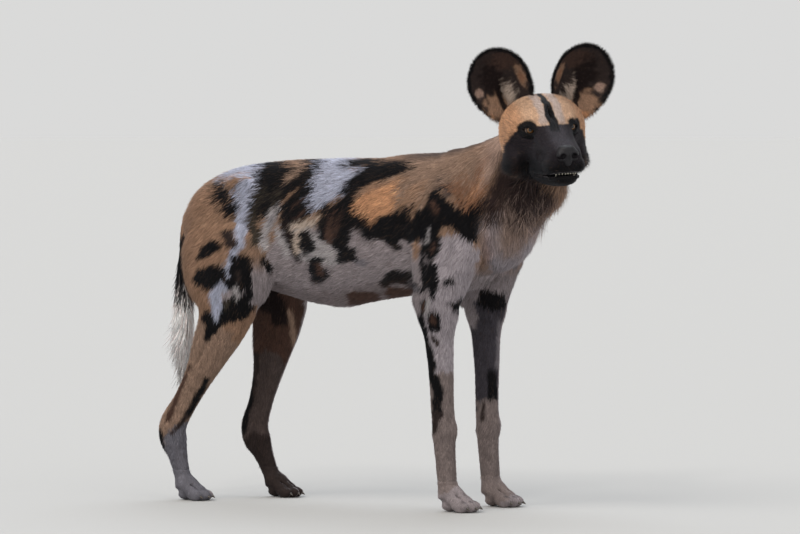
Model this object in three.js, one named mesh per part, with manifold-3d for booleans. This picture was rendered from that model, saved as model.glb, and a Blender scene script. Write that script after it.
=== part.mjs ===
// African wild dog (Lycaon pictus), a standing adult at life size, head turned to its right.
// Millimetres, +X towards the chest, +Y to the animal's left, +Z up, and the floor at Z = 0.
import * as THREE from "three";
import { mergeVertices } from "three/addons/utils/BufferGeometryUtils.js";
import Module from "manifold-3d";

const wasm = await Module();
wasm.setup();

// Driving sizes.
const GAP = 0.3; // clearance between touching pieces
const HEAD_AT = new THREE.Vector3(356, -77, 715); // point between the eyes
const HEAD_YAW = -46; // degrees, turned to the animal's right
const HEAD_PITCH = 2; // degrees, nose down
const HEAD_ROLL = 4; // degrees, left side up
const EYE = { x: 10, y: 37.5, z: 4, r: 11.5 }; // eyeball centre in the head's frame

const EARS = [
  { side: -1, y: 75, z: 88, facing: 12 },
  { side: 1, y: 86, z: 84, facing: 1 },
];

const radians = THREE.MathUtils.degToRad;

// Smooth values: each numeric field of the stations is carried by a Catmull-Rom curve.
function smooth(stations, perSpan) {
  const fields = Object.keys(stations[0]);
  const at = (i) => stations[Math.min(Math.max(i, 0), stations.length - 1)];
  const out = [];
  for (let i = 0; i < stations.length - 1; i++) {
    const steps = i === stations.length - 2 ? perSpan + 1 : perSpan;
    for (let k = 0; k < steps; k++) {
      const t = k / perSpan;
      const s = {};
      for (const f of fields) {
        const [a, b, c, d] = [at(i - 1)[f], at(i)[f], at(i + 1)[f], at(i + 2)[f]];
        const cubic = 3 * (b - c) + d - a;
        s[f] = b + 0.5 * t * (c - a + t * (2 * a - 5 * b + 4 * c - d + t * cubic));
      }
      out.push(s);
    }
  }
  return out;
}

// A body of rounded sections along a bent axis. A station holds the axis point, the half-width w to
// each side, u and d on the two other sides (up and down on a trunk, front and back on a leg), the
// squareness p, and the turn of the side direction about Z in degrees.
function loft(stations, { perSpan = 3, sides = 16, grow = 0 } = {}) {
  const full = stations.map(([x, y, z, w, u, d, p = 2, turn = 0]) => ({ x, y, z, w, u, d, p, turn }));
  const rings = smooth(full, perSpan);
  const points = [];
  const centre = (s) => new THREE.Vector3(s.x, s.y, s.z);
  rings.forEach((s, i) => {
    const before = centre(rings[Math.max(i - 1, 0)]);
    const after = centre(rings[Math.min(i + 1, rings.length - 1)]);
    const along = after.sub(before).normalize();
    const side = new THREE.Vector3(-Math.sin(radians(s.turn)), Math.cos(radians(s.turn)), 0);
    const up = along.clone().cross(side).normalize();
    side.crossVectors(up, along);
    for (let k = 0; k < sides; k++) {
      const angle = (2 * Math.PI * k) / sides;
      const [c, n] = [Math.cos(angle), Math.sin(angle)];
      const across = Math.sign(c) * Math.abs(c) ** (2 / s.p) * (Math.max(s.w, 0.5) + grow);
      const reach = Math.max(n > 0 ? s.u : s.d, 0.5) + grow;
      const upward = Math.sign(n) * Math.abs(n) ** (2 / s.p) * reach;
      points.push(centre(s).addScaledVector(side, across).addScaledVector(up, upward));
    }
  });
  return closedTube(points, rings.length, sides);
}

// Rings of points joined into a closed surface, with a fan over each end ring.
function closedTube(points, rings, sides) {
  const faces = [];
  for (let i = 0; i < rings - 1; i++) {
    for (let k = 0; k < sides; k++) {
      const [a, b] = [i * sides + k, i * sides + ((k + 1) % sides)];
      faces.push(a, b, b + sides, a, b + sides, a + sides);
    }
  }
  const middle = (from) => {
    const m = new THREE.Vector3();
    for (let k = 0; k < sides; k++) m.addScaledVector(points[from + k], 1 / sides);
    return m;
  };
  const last = (rings - 1) * sides;
  const [first, end] = [points.length, points.length + 1];
  const all = [...points, middle(0), middle(last)];
  for (let k = 0; k < sides; k++) {
    const next = (k + 1) % sides;
    faces.push(first, next, k, end, last + k, last + next);
  }
  return new THREE.BufferGeometry().setFromPoints(all).setIndex(faces);
}

// A ball stretched to three radii.
function ball([x, y, z], [rx, ry, rz], across = 12, down = 8) {
  return new THREE.SphereGeometry(1, across, down).scale(rx, ry, rz).translate(x, y, z);
}

// A closed geometry as a solid that can be joined and cut.
function solid(geometry) {
  const bare = geometry.clone();
  bare.deleteAttribute("normal");
  bare.deleteAttribute("uv");
  const merged = mergeVertices(bare, 1e-3);
  const make = (triVerts) =>
    new wasm.Manifold(
      new wasm.Mesh({ numProp: 3, vertProperties: merged.attributes.position.array, triVerts }),
    );
  const triVerts = new Uint32Array(merged.index.array);
  const made = make(triVerts);
  if (made.volume() > 0) return made;
  for (let i = 0; i < triVerts.length; i += 3) {
    [triVerts[i + 1], triVerts[i + 2]] = [triVerts[i + 2], triVerts[i + 1]];
  }
  return make(triVerts);
}

const join = (...solids) => solids.reduce((a, b) => a.add(b));
const cut = (a, ...others) => others.reduce((left, b) => left.subtract(b), a);

// The largest closed body of a solid.
function largest(a) {
  return a.decompose().sort((p, q) => q.volume() - p.volume())[0];
}

function geometryOf(a) {
  const m = a.getMesh();
  return new THREE.BufferGeometry()
    .setAttribute("position", new THREE.BufferAttribute(new Float32Array(m.vertProperties), 3))
    .setIndex(new THREE.BufferAttribute(new Uint32Array(m.triVerts), 1));
}

// The same solid with its skin pushed out by the gap, to cut its neighbour with.
function grown(a, by = GAP) {
  const g = geometryOf(a);
  g.computeVertexNormals();
  const [p, n] = [g.attributes.position, g.attributes.normal];
  for (let i = 0; i < p.count; i++) {
    p.setXYZ(i, p.getX(i) + by * n.getX(i), p.getY(i) + by * n.getY(i), p.getZ(i) + by * n.getZ(i));
  }
  g.deleteAttribute("normal");
  return solid(g);
}

// Everything on the side of a plane that its normal points to, from half a gap past the plane.
function halfSpace(point, normal) {
  const size = 4000;
  const n = new THREE.Vector3(...normal).normalize();
  const turn = new THREE.Quaternion().setFromUnitVectors(new THREE.Vector3(0, 0, 1), n);
  const box = new THREE.BoxGeometry(size, size, size).translate(0, 0, size / 2 + GAP / 2);
  return solid(box.applyQuaternion(turn).translate(...point));
}
const after = ({ at, normal }) => halfSpace(at, normal);
const before = ({ at, normal }) => halfSpace(at, normal.map((v) => -v));

// Repeatable random numbers from 0 to 1.
function randomFrom(seed) {
  let state = seed;
  return () => {
    state = (state * 1664525 + 1013904223) % 4294967296;
    return state / 4294967296;
  };
}

// Points spread evenly over a surface, no two nearer than the spacing, each with the surface's normal.
function scatter(surface, spacing, random, accept) {
  const p = surface.toNonIndexed().attributes.position;
  const corners = [0, 1, 2].map(() => new THREE.Vector3());
  const faces = [];
  let area = 0;
  for (let i = 0; i < p.count; i += 3) {
    corners.forEach((corner, k) => corner.fromBufferAttribute(p, i + k));
    const triangle = new THREE.Triangle(...corners.map((corner) => corner.clone()));
    area += triangle.getArea();
    faces.push({ upTo: area, triangle });
  }
  const found = [];
  for (let tries = 0; tries < 6000; tries++) {
    const pick = random() * area;
    const { triangle } = faces.find((face) => face.upTo >= pick);
    const [r, q] = [Math.sqrt(random()), random()];
    const at = new THREE.Vector3()
      .addScaledVector(triangle.a, 1 - r)
      .addScaledVector(triangle.b, r * (1 - q))
      .addScaledVector(triangle.c, r * q);
    const normal = triangle.getNormal(new THREE.Vector3());
    if (accept(at, normal) && found.every((other) => other.at.distanceTo(at) > spacing)) {
      found.push({ at, normal });
    }
  }
  return found;
}

// A lock of hair: flat, tapered and bent, from a root sunk under the skin to its tip.
function lock({ at, normal }, lie, { length, width, thick, sink, lift }) {
  const along = lie.clone().addScaledVector(normal, -lie.dot(normal)).normalize();
  const side = new THREE.Vector3().crossVectors(along, normal);
  const points = [];
  const shares = [0, 0.3, 0.68];
  const centre = (t) =>
    at
      .clone()
      .addScaledVector(along, length * (t - 0.12))
      .addScaledVector(normal, (sink + lift) * Math.sin((t * Math.PI) / 2) - sink);
  for (const t of shares) {
    const taper = 1 - t * t;
    for (const [across, out] of [[1, 0], [0, 1], [-1, 0], [0, -1]]) {
      points.push(
        centre(t)
          .addScaledVector(side, across * width * taper)
          .addScaledVector(normal, out * thick * taper),
      );
    }
  }
  const sides = 4;
  const faces = [0, 2, 1, 0, 3, 2];
  for (let i = 0; i < shares.length - 1; i++) {
    for (let k = 0; k < sides; k++) {
      const [a, b] = [i * sides + k, i * sides + ((k + 1) % sides)];
      faces.push(a, b, b + sides, a, b + sides, a + sides);
    }
  }
  const last = (shares.length - 1) * sides;
  for (let k = 0; k < sides; k++) faces.push(last + k, last + ((k + 1) % sides), points.length);
  return solid(new THREE.BufferGeometry().setFromPoints([...points, centre(1)]).setIndex(faces));
}

// The trunk: rump, loin, belly and chest.
const torsoLoft = loft(
  [
    [-456, 0, 516, 14, 10, 10],
    [-448, 0, 518, 44, 34, 40],
    [-428, 0, 521, 66, 64, 70],
    [-390, 0, 526, 80, 92, 96, 2.1],
    [-330, 0, 528, 86, 113, 112, 2.1],
    [-240, 0, 524, 88, 128, 132, 2.2],
    [-130, 0, 518, 97, 139, 146, 2.2],
    [-30, 0, 520, 102, 139, 132, 2.2],
    [60, 0, 530, 98, 139, 128, 2.2],
    [140, 0, 540, 94, 126, 132, 2.2],
    [205, 0, 534, 88, 100, 112, 2.3],
    [246, 0, 518, 76, 72, 76, 2.3],
    [268, 0, 510, 44, 36, 38, 2.2],
    [276, 0, 508, 8, 8, 8],
  ],
  { perSpan: 2, sides: 18 },
);

// The low sheath under the belly of a male.
const sheath = solid(ball([-120, 0, 376], [36, 13, 14], 8, 6));

// The neck rises from the shoulders and turns with the head.
const neckStations = [
  [90, 0, 562, 74, 92, 112, 2.1, 0],
  [165, 0, 578, 84, 108, 112, 2.1, -4],
  [222, -3, 610, 78, 98, 92, 2.1, -12],
  [264, -10, 646, 74, 82, 80, 2, -24],
  [296, -26, 682, 66, 60, 66, 2, -36],
  [318, -44, 706, 50, 40, 44, 2, -44],
];
const neckLoft = loft(neckStations, { perSpan: 2, sides: 18 });

// The core of the throat's ruff. Its locks hang down and forward from it.
const throat = solid(ball([288, 12, 612], [44, 48, 46], 10, 7));
const RUFF = { length: 60, width: 13, thick: 4.5, sink: 9, lift: 21 };
const BRUSH = { length: 88, width: 12, thick: 4.5, sink: 7, lift: 13 };

const tailStations = [
  [-428, 0, 558, 20, 18, 20],
  [-452, 0, 541, 20, 18, 19],
  [-466, 0, 511, 15, 15, 16],
  [-470, 0, 476, 14, 14, 14],
  [-473, 0, 436, 14, 14, 14],
  [-475, 0, 386, 15, 15, 15],
  [-475, 0, 336, 15, 15, 15],
  [-476, 0, 291, 12, 12, 12],
  [-477, 0, 262, 8, 8, 8],
  [-478, 0, 240, 3, 3, 3],
];
const tailLoft = loft(tailStations, { perSpan: 2, sides: 12 });

// Joints of each leg: the sizes along it are the same on both sides and only the stance differs.
const STANCE = {
  fore_right: {
    side: -1,
    top: [84, 50, 618],
    shoulder: [140, 72, 508],
    elbow: [126, 84, 398],
    carpus: [136, 76, 152],
    foot: [145, 75, 27],
  },
  fore_left: {
    side: 1,
    top: [84, 50, 618],
    shoulder: [150, 72, 508],
    elbow: [138, 84, 398],
    carpus: [147, 76, 152],
    foot: [156, 75, 27],
  },
  hind_right: {
    side: -1,
    hip: [-350, 50, 558],
    stifle: [-322, 80, 362],
    hock: [-455, 73, 134],
    foot: [-430, 74, 27],
  },
  hind_left: {
    side: 1,
    hip: [-344, 50, 558],
    stifle: [-303, 80, 358],
    hock: [-358, 75, 127],
    foot: [-318, 75, 27],
  },
};

// Places a share of the way from one joint to the next, with the half-widths there: front, back, side.
const FORE_SIZES = [
  ["top", "shoulder", 0.0, 30, 34, 12],
  ["top", "shoulder", 0.45, 70, 60, 37],
  ["top", "shoulder", 1.0, 80, 68, 35],
  ["shoulder", "elbow", 0.5, 68, 62, 35],
  ["shoulder", "elbow", 1.0, 50, 46, 31],
  ["elbow", "carpus", 0.13, 42, 42, 28],
  ["elbow", "carpus", 0.3, 29, 29, 24],
  ["elbow", "carpus", 0.55, 25, 24, 21],
  ["elbow", "carpus", 0.82, 22, 23, 19],
  ["elbow", "carpus", 1.0, 23, 22, 20],
  ["carpus", "foot", 0.35, 19, 21, 18],
  ["carpus", "foot", 0.75, 18, 19, 18],
  ["carpus", "foot", 1.0, 19, 18, 20],
];
const HIND_SIZES = [
  ["hip", "stifle", 0.0, 46, 56, 16],
  ["hip", "stifle", 0.25, 100, 92, 40],
  ["hip", "stifle", 0.55, 92, 98, 43],
  ["hip", "stifle", 0.88, 62, 80, 38],
  ["stifle", "hock", 0.1, 46, 60, 32],
  ["stifle", "hock", 0.32, 37, 44, 27],
  ["stifle", "hock", 0.56, 27, 31, 21],
  ["stifle", "hock", 0.78, 21, 29, 17],
  ["stifle", "hock", 0.96, 22, 34, 18],
  ["hock", "foot", 0.18, 23, 33, 18],
  ["hock", "foot", 0.42, 18, 23, 16],
  ["hock", "foot", 0.76, 16, 17, 14],
  ["hock", "foot", 1.0, 18, 16, 17],
];

function legStations(stance, sizes) {
  return sizes.map(([from, to, share, fore, aft, side]) => {
    const [a, b] = [stance[from], stance[to]];
    const [x, y, z] = a.map((v, i) => v + share * (b[i] - v));
    return [x, stance.side * y, z, side, fore, aft, 2.3, 0];
  });
}

// A foot: instep, four toes with claws, and the heel pad, standing flat on the floor.
function paw(stance, scale) {
  const pieces = [ball([16, 0, 25], [30, 24, 19], 8, 5), ball([2, 0, 10], [18, 19, 12], 8, 4)];
  const toes = [
    [-20, 36, -9],
    [-7.5, 46, -3],
    [7.5, 46, 3],
    [20, 36, 9],
  ];
  for (const [across, ahead, spread] of toes) {
    const toe = ball([0, 0, 12.5], [20, 10.5, 13.5], 6, 4);
    const claw = new THREE.ConeGeometry(3.6, 17, 4).rotateZ(radians(-112)).translate(22, 0, 9);
    for (const piece of [toe, claw]) {
      pieces.push(piece.rotateZ(radians(spread)).translate(ahead, across, 0));
    }
  }
  const at = stance.foot;
  return pieces.map((piece) =>
    solid(piece.scale(scale, scale, scale).translate(at[0], stance.side * at[1], 0)),
  );
}

const FLOOR = { at: [0, 0, -GAP / 2], normal: [0, 0, 1] };
const ANKLE = { at: [0, 0, 46], normal: [0, 0, -1] };
const ELBOW = { at: [0, 0, 372], normal: [0, 0, -1] };
const STIFLE = { at: [-320, 0, 336], normal: [0.25, 0, -1] };

// Heads are built in their own frame, with the origin between the eyes, and set on the neck.
const headPlace = new THREE.Matrix4()
  .makeRotationFromEuler(
    new THREE.Euler(radians(HEAD_ROLL), radians(HEAD_PITCH), radians(HEAD_YAW), "ZYX"),
  )
  .setPosition(HEAD_AT);
const onHead = (geometry) => solid(geometry.applyMatrix4(headPlace));
const both = (make) => [-1, 1].map(make);

const skull = onHead(
  loft(
    [
      [-122, 0, 0, 16, 14, 16],
      [-112, 0, 2, 42, 36, 42],
      [-85, 0, 2, 64, 58, 68, 2.1],
      [-50, 0, 0, 80, 66, 84, 2.2],
      [-16, 0, -4, 76, 60, 92, 2.3],
      [6, 0, -11, 57, 47, 88, 2.4],
      [28, 0, -21, 41, 38, 82, 2.4],
      [60, 0, -33, 37, 29, 68, 2.5],
      [92, 0, -42, 34, 25, 52, 2.5],
      [112, 0, -46, 28, 22, 36, 2.4],
      [120, 0, -47, 14, 12, 14, 2],
    ],
    { perSpan: 2, sides: 20 },
  ),
);
const jawLoft = onHead(
  loft(
    [
      [-40, 0, -64, 28, 18, 20],
      [-15, 0, -70, 38, 20, 24],
      [22, 0, -78, 36.5, 20, 22],
      [58, 0, -83, 31, 18, 17],
      [86, 0, -85, 26, 15, 14],
      [102, 0, -84, 18, 11, 11],
      [108, 0, -83, 7, 6, 6],
    ],
    { perSpan: 2, sides: 14 },
  ),
);
const brows = both((s) => onHead(ball([0, s * 33, 16], [20, 17, 12])));
const LID = EYE.r + 3;
const lids = both((s) => onHead(ball([EYE.x, s * EYE.y, EYE.z], [LID, LID, LID])));
const eyes = both((s) => onHead(ball([EYE.x, s * EYE.y, EYE.z], [EYE.r, EYE.r, EYE.r])));
const lidOpenings = both((s) => {
  const slit = ball([EYE.r + 3, 0, 0], [9, 10.5, 6], 12, 6);
  return onHead(slit.rotateZ(radians(s * 36)).translate(EYE.x, s * EYE.y, EYE.z));
});

// The mouth: a side view of the space under the upper lips, and of the lower jaw that fills most of it.
function sideCut(outline) {
  const shape = new THREE.Shape(outline.map(([x, z]) => new THREE.Vector2(x, z)));
  const block = new THREE.ExtrudeGeometry(shape, { depth: 200, bevelEnabled: false });
  return onHead(block.rotateX(Math.PI / 2).translate(0, 100, 0));
}
const underLips = sideCut([
  [14, -78],
  [66, -79],
  [130, -70],
  [130, -150],
  [-8, -150],
]);
const jawSpace = sideCut([
  [14.6, -78.4],
  [66, -81],
  [130, -84],
  [130, -150],
  [-7.4, -150],
]);

// Lips: a thin roll along the edge of the mouth on each side, from its corner to the front.
const LIP = 2.6;
const lipLine = (s, points) =>
  onHead(loft(points.map(([x, y, z]) => [x, s * y, z, LIP, LIP, LIP]), { perSpan: 1, sides: 6 }));
const upperLips = both((s) =>
  lipLine(s, [
    [12, 37.5, -75.4],
    [28, 33.5, -75.6],
    [60, 31.3, -75.8],
    [92, 29.5, -72],
    [109, 22, -69.6],
    [113, 1, -69],
  ]),
);
const lowerLips = both((s) =>
  lipLine(s, [
    [22, 36.5, -81.5],
    [58, 31.5, -83.6],
    [86, 26.2, -84.9],
    [100, 18, -85.6],
    [106, 1, -85.8],
  ]),
);

// Front teeth: small incisors between two long canines, in both jaws. They lean forward a little.
function teeth(z, up, reach) {
  const row = [];
  for (let i = 0; i < 8; i++) {
    const y = (i - 3.5) * 5.4;
    const canine = i === 0 || i === 7;
    const [width, height] = canine ? [3.2, 8.5] : [2.5, 6];
    const tooth = new THREE.ConeGeometry(width, height, 5).rotateX(up > 0 ? Math.PI / 2 : -Math.PI / 2);
    row.push(onHead(tooth.translate(reach - (y * y) / 42, y, z + up * (height / 2 - 2.5))));
  }
  return row;
}
const lowerTeeth = teeth(-82.3, 1, 97);
const upperTeeth = teeth(-73.6, -1, 103);

// The nose pad with its two nostrils.
const nosePad = onHead(ball([116, 0, -37], [15, 21, 15], 12, 7));
const nostrils = both((s) => onHead(ball([130, s * 9, -37], [7, 5, 4.5], 6, 5)));

// An ear: a large rounded cup on a short thick base, open to the front. Room is added all round it.
function ear({ side, y, z, facing }, room = 0) {
  const [rings, sides] = [5, 18];
  const shell = (back) => {
    const points = [];
    for (let i = 1; i <= rings; i++) {
      const r = i / rings;
      for (let k = 0; k < sides; k++) {
        const angle = (2 * Math.PI * k) / sides;
        const [c, n] = [Math.cos(angle), Math.sin(angle)];
        const low = Math.max(-n, 0);
        const wide = 62 * (1 - 0.16 * low * low) + room;
        const tall = (n > 0 ? 72 : 79) + room;
        const cup = 36 * (1 - r * r) * (1 - 0.35 * n * r);
        const thick = back ? 3 + 9 * (1 - r) + room : -2.5 * room;
        const lean = -8 * side * low * r;
        points.push(new THREE.Vector3(-cup - thick, wide * c * r + lean, tall * n * r));
      }
    }
    return points;
  };
  const [front, back] = [shell(false), shell(true)];
  const faces = [];
  const count = rings * sides;
  const bottoms = [2.5 * room - 36, -48 - room].map((x) => new THREE.Vector3(x, 0, 0));
  const all = [...front, ...back, ...bottoms];
  for (let i = 0; i < rings - 1; i++) {
    for (let k = 0; k < sides; k++) {
      const [a, b] = [i * sides + k, i * sides + ((k + 1) % sides)];
      const [c, d] = [count + a, count + b];
      faces.push(a, a + sides, b + sides, a, b + sides, b);
      faces.push(c, d + sides, c + sides, c, d, d + sides);
    }
  }
  for (let k = 0; k < sides; k++) {
    const next = (k + 1) % sides;
    const rim = (rings - 1) * sides;
    const [a, b] = [rim + k, rim + next];
    faces.push(a, count + a, count + b, a, count + b, b);
    faces.push(2 * count, k, next, 2 * count + 1, count + next, count + k);
  }
  return new THREE.BufferGeometry()
    .setFromPoints(all)
    .setIndex(faces)
    .rotateY(radians(8))
    .rotateX(radians(side * -14))
    .rotateZ(radians(side * facing))
    .translate(-46, side * y, z);
}
const earBases = both((s) => onHead(ball([-56, s * 62, 28], [26, 24, 36], 10, 7)));
const earShells = EARS.map((place) => onHead(ear(place)));
const earWalls = EARS.map((place) => onHead(ear(place, 2 * GAP)));

// Assembly of the trunk with the neck and head, parted by thin plane cuts.
const HEAD_BACK = { at: [296, -30, 686], normal: [0.6, -0.45, 0.66] };
const NECK_ROOT = { at: [176, 0, 566], normal: [0.86, 0, 0.5] };
const TAIL_ROOT = { at: [-462, 0, 526], normal: [-0.55, 0, -0.83] };
const BRUSH_TOP = { at: [0, 0, 461], normal: [0, 0, -1] };
const NOSE_BACK = {
  at: new THREE.Vector3(108, 0, -36).applyMatrix4(headPlace).toArray(),
  normal: new THREE.Vector3(1, 0, 0).transformDirection(headPlace).toArray(),
};

const nodes = {};
const legs = {};
for (const [name, stance] of Object.entries(STANCE)) {
  const fore = name.startsWith("fore");
  const sizes = fore ? FORE_SIZES : HIND_SIZES;
  const column = loft(legStations(stance, sizes), { perSpan: 2, sides: 12 });
  legs[name] = join(solid(column), ...paw(stance, fore ? 1 : 0.92)).intersect(after(FLOOR));
}

const torso = join(solid(torsoLoft), sheath);
const neck = solid(neckLoft);
const tail = solid(tailLoft);
const legWalls = Object.values(legs).map((leg) => grown(leg));

nodes.torso = largest(
  cut(torso, ...legWalls).intersect(before(NECK_ROOT)).intersect(before(TAIL_ROOT)),
);

const random = randomFrom(7);
const vary = (sizes) => ({ ...sizes, length: sizes.length * (0.8 + 0.35 * random()) });
const neckCore = join(neck, torso, throat);
const ruffRoots = scatter(geometryOf(neckCore), 22, random, (at, normal) => {
  const front = normal.x * 0.8 + normal.y * 0.2 - normal.z * 0.55;
  return front > 0.1 && at.z > 552 && at.z < 652 && at.x > 225;
});
const ruff = ruffRoots.map((root) => {
  const left = THREE.MathUtils.smoothstep(root.at.y, -50, 40);
  const lie = new THREE.Vector3(0.15 + 0.55 * left, 0.5 * left - 0.1, -0.75);
  lie.x += 0.2 * (random() - 0.5);
  return lock(root, lie, vary(RUFF));
});
nodes.neck = largest(
  cut(join(neckCore, ...ruff), ...legWalls).intersect(after(NECK_ROOT)).intersect(before(HEAD_BACK)),
);
const eyeWalls = eyes.map((eye) => grown(eye));
const earWhole = earShells.map((shell, i) => join(shell, earBases[i]));
const headWhole = join(
  cut(join(skull, jawLoft), underLips),
  ...brows,
  ...lids,
  ...upperLips,
  ...upperTeeth,
);
nodes.lower_jaw = join(jawLoft.intersect(jawSpace), ...lowerLips, ...lowerTeeth);
nodes.nose = cut(nosePad, ...nostrils).intersect(after(NOSE_BACK));
nodes.head = largest(
  cut(
    headWhole.intersect(after(HEAD_BACK)),
    ...lidOpenings,
    ...eyeWalls,
    ...earWalls,
    ...earBases.map((piece) => grown(piece)),
    grown(nodes.nose),
  ),
);
["right", "left"].forEach((word, i) => {
  nodes["eye_" + word] = eyes[i];
  nodes["ear_" + word] = largest(earWhole[i]);
});

nodes.tail = largest(
  cut(tail.intersect(after(TAIL_ROOT)).intersect(before(BRUSH_TOP)), grown(nodes.torso)),
);
const brushRoots = scatter(geometryOf(tail), 23, random, (at) => at.z > 262 && at.z < 452);
const brush = brushRoots.map((root) => {
  const lie = new THREE.Vector3(0.1 * (random() - 0.5), 0.1 * (random() - 0.5), -1);
  return lock(root, lie, vary(BRUSH));
});
nodes.tail_brush = largest(
  cut(join(tail, ...brush).intersect(after(BRUSH_TOP)), ...legWalls),
);

for (const [name, leg] of Object.entries(legs)) {
  const fore = name.startsWith("fore");
  const word = name.split("_")[1];
  const knee = fore ? ELBOW : STIFLE;
  const names = fore ? ["shoulder", "forearm", "forepaw"] : ["thigh", "shank", "hindpaw"];
  nodes[names[0] + "_" + word] = largest(leg.intersect(before(knee)));
  nodes[names[1] + "_" + word] = largest(leg.intersect(after(knee)).intersect(before(ANKLE)));
  nodes[names[2] + "_" + word] = largest(leg.intersect(after(ANKLE)));
}

// Colour and roughness by the first word of a node's name.
const FINISHES = {
  torso: [0x59473a, 0.9],
  neck: [0x5e4232, 0.95],
  head: [0x2a2422, 0.85],
  lower: [0x1d191a, 0.8],
  nose: [0x0c0b0d, 0.35],
  eye: [0x4a2a10, 0.1],
  ear: [0x1c1512, 0.9],
  tail: [0x9a8770, 0.95],
  shoulder: [0x77706a, 0.9],
  forearm: [0x7d746b, 0.9],
  forepaw: [0x8a8077, 0.9],
  thigh: [0x604a38, 0.9],
  shank: [0x6e5a46, 0.9],
  hindpaw: [0x8a8077, 0.9],
};
const group = new THREE.Group();
for (const [name, node] of Object.entries(nodes)) {
  const [color, roughness] = FINISHES[name.split("_")[0]];
  const material = new THREE.MeshStandardMaterial({ color, roughness, metalness: 0 });
  const mesh = new THREE.Mesh(geometryOf(node), material);
  mesh.name = name;
  group.add(mesh);
}

// The origin lies on the floor under the middle of the bounding box.
const box = new THREE.Box3().setFromObject(group);
group.position.set(-(box.min.x + box.max.x) / 2, -(box.min.y + box.max.y) / 2, -box.min.z);

export default group;
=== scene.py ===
import math
import bpy
import numpy as np
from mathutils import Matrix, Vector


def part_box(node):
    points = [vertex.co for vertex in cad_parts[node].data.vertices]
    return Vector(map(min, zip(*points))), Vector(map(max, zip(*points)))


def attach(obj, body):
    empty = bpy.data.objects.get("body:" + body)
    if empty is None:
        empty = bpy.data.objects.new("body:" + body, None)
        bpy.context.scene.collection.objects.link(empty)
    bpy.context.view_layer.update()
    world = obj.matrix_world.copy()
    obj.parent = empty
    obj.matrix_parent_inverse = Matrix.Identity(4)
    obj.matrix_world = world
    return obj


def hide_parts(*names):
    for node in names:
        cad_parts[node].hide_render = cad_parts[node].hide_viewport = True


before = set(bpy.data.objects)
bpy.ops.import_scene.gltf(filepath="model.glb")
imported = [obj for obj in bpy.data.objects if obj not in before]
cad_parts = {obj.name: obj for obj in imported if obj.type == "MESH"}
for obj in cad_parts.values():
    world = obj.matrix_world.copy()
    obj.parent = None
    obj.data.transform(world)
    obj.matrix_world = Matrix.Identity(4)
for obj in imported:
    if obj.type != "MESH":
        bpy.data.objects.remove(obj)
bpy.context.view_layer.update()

import openvdb as vdb
from mathutils import Vector

# The view: a long lens 12 m off, level with the chest and ahead of the animal's right side, as in the
# photograph, whose frame is 800 by 534. The lens is set so that a metre of dog covers 530 pixels.
AZIMUTH = math.radians(29)
ELEVATION = math.radians(2.5)
DISTANCE = 12.0
AIM = Vector((0.02335, 0.03024, 0.4513))
PHOTO_WIDTH, PHOTO_HEIGHT = 800, 534
PIXELS_PER_METRE = 530
level = math.cos(ELEVATION)
away = Vector((math.sin(AZIMUTH) * level, -math.cos(AZIMUTH) * level, math.sin(ELEVATION)))
lens = bpy.data.cameras.new("view")
lens.sensor_width = 36
lens.lens = lens.sensor_width * PIXELS_PER_METRE * DISTANCE / PHOTO_WIDTH
lens.clip_end = 80
camera = bpy.data.objects.new("view", lens)
camera.location = AIM + DISTANCE * away
camera.rotation_euler = away.to_track_quat("Z", "Y").to_euler()
bpy.context.collection.objects.link(camera)
bpy.context.scene.camera = camera


# The studio: a pale seamless floor and large soft boxes, a warm key from the front left and a cool
# one from above and behind, which gives dark fur its blue edge. None of it is part of the animal.
def material_of(name, **settings):
    """A new material. Each setting goes on the shader's own socket, with _ for the spaces in its name."""
    material = bpy.data.materials.new(name)
    material.use_nodes = True
    for socket, value in settings.items():
        material.node_tree.nodes["Principled BSDF"].inputs[socket.replace("_", " ")].default_value = value
    return material


FLOOR_RADIUS = 30
bpy.ops.mesh.primitive_circle_add(vertices=96, radius=FLOOR_RADIUS, fill_type="NGON")
floor = bpy.context.object
floor.name = "floor"
paint = material_of("floor_paint", Base_Color=(0.43, 0.427, 0.4195, 1), Roughness=0.85)
floor.data.materials.append(paint)

for name, place, softness, strength, colour in [
    ("key", (-1.0, -3.0, 3.4), 40, 1.55, (1.0, 0.95, 0.88)),
    ("spark", (0.6, -2.6, 2.0), 6, 0.35, (1.0, 0.96, 0.9)),
    ("top", (-0.8, 1.8, 3.2), 50, 1.4, (0.84, 0.91, 1.0)),
    ("side", (3.4, -1.2, 1.6), 50, 0.5, (1.0, 0.97, 0.94)),
]:
    lamp = bpy.data.lights.new(name, "SUN")
    lamp.angle = math.radians(softness)
    lamp.energy = strength
    lamp.color = colour
    light = bpy.data.objects.new(name, lamp)
    light.rotation_euler = Vector(place).to_track_quat("Z", "Y").to_euler()
    bpy.context.collection.objects.link(light)

world = bpy.data.worlds.new("studio")
world.use_nodes = True
backdrop = world.node_tree.nodes["Background"]
backdrop.inputs["Color"].default_value = (0.70, 0.70, 0.695, 1)
backdrop.inputs["Strength"].default_value = 1.0
bpy.context.scene.world = world
bpy.context.scene.view_settings.view_transform = "Standard"

# The flesh under the coat: trunk, neck, legs, tail and head are the same stations as the solids, in
# millimetres on the trunk's own axes, each drawn in by the depth of its coat and melted into the next.
HEAD_AT = np.array([356.0, -77.0, 715.0])  # between the eyes
EYE = np.array([10.0, 37.5, 4.0])
EYE_RADIUS = 11.5


def turned(roll, pitch, yaw):
    """A turn about X, then Y, then Z, in degrees."""
    angles = np.radians([roll, pitch, yaw])
    (cos_x, cos_y, cos_z), (sin_x, sin_y, sin_z) = np.cos(angles), np.sin(angles)
    about_x = np.array([[1, 0, 0], [0, cos_x, -sin_x], [0, sin_x, cos_x]])
    about_y = np.array([[cos_y, 0, sin_y], [0, 1, 0], [-sin_y, 0, cos_y]])
    about_z = np.array([[cos_z, -sin_z, 0], [sin_z, cos_z, 0], [0, 0, 1]])
    return about_z @ about_y @ about_x


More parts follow.
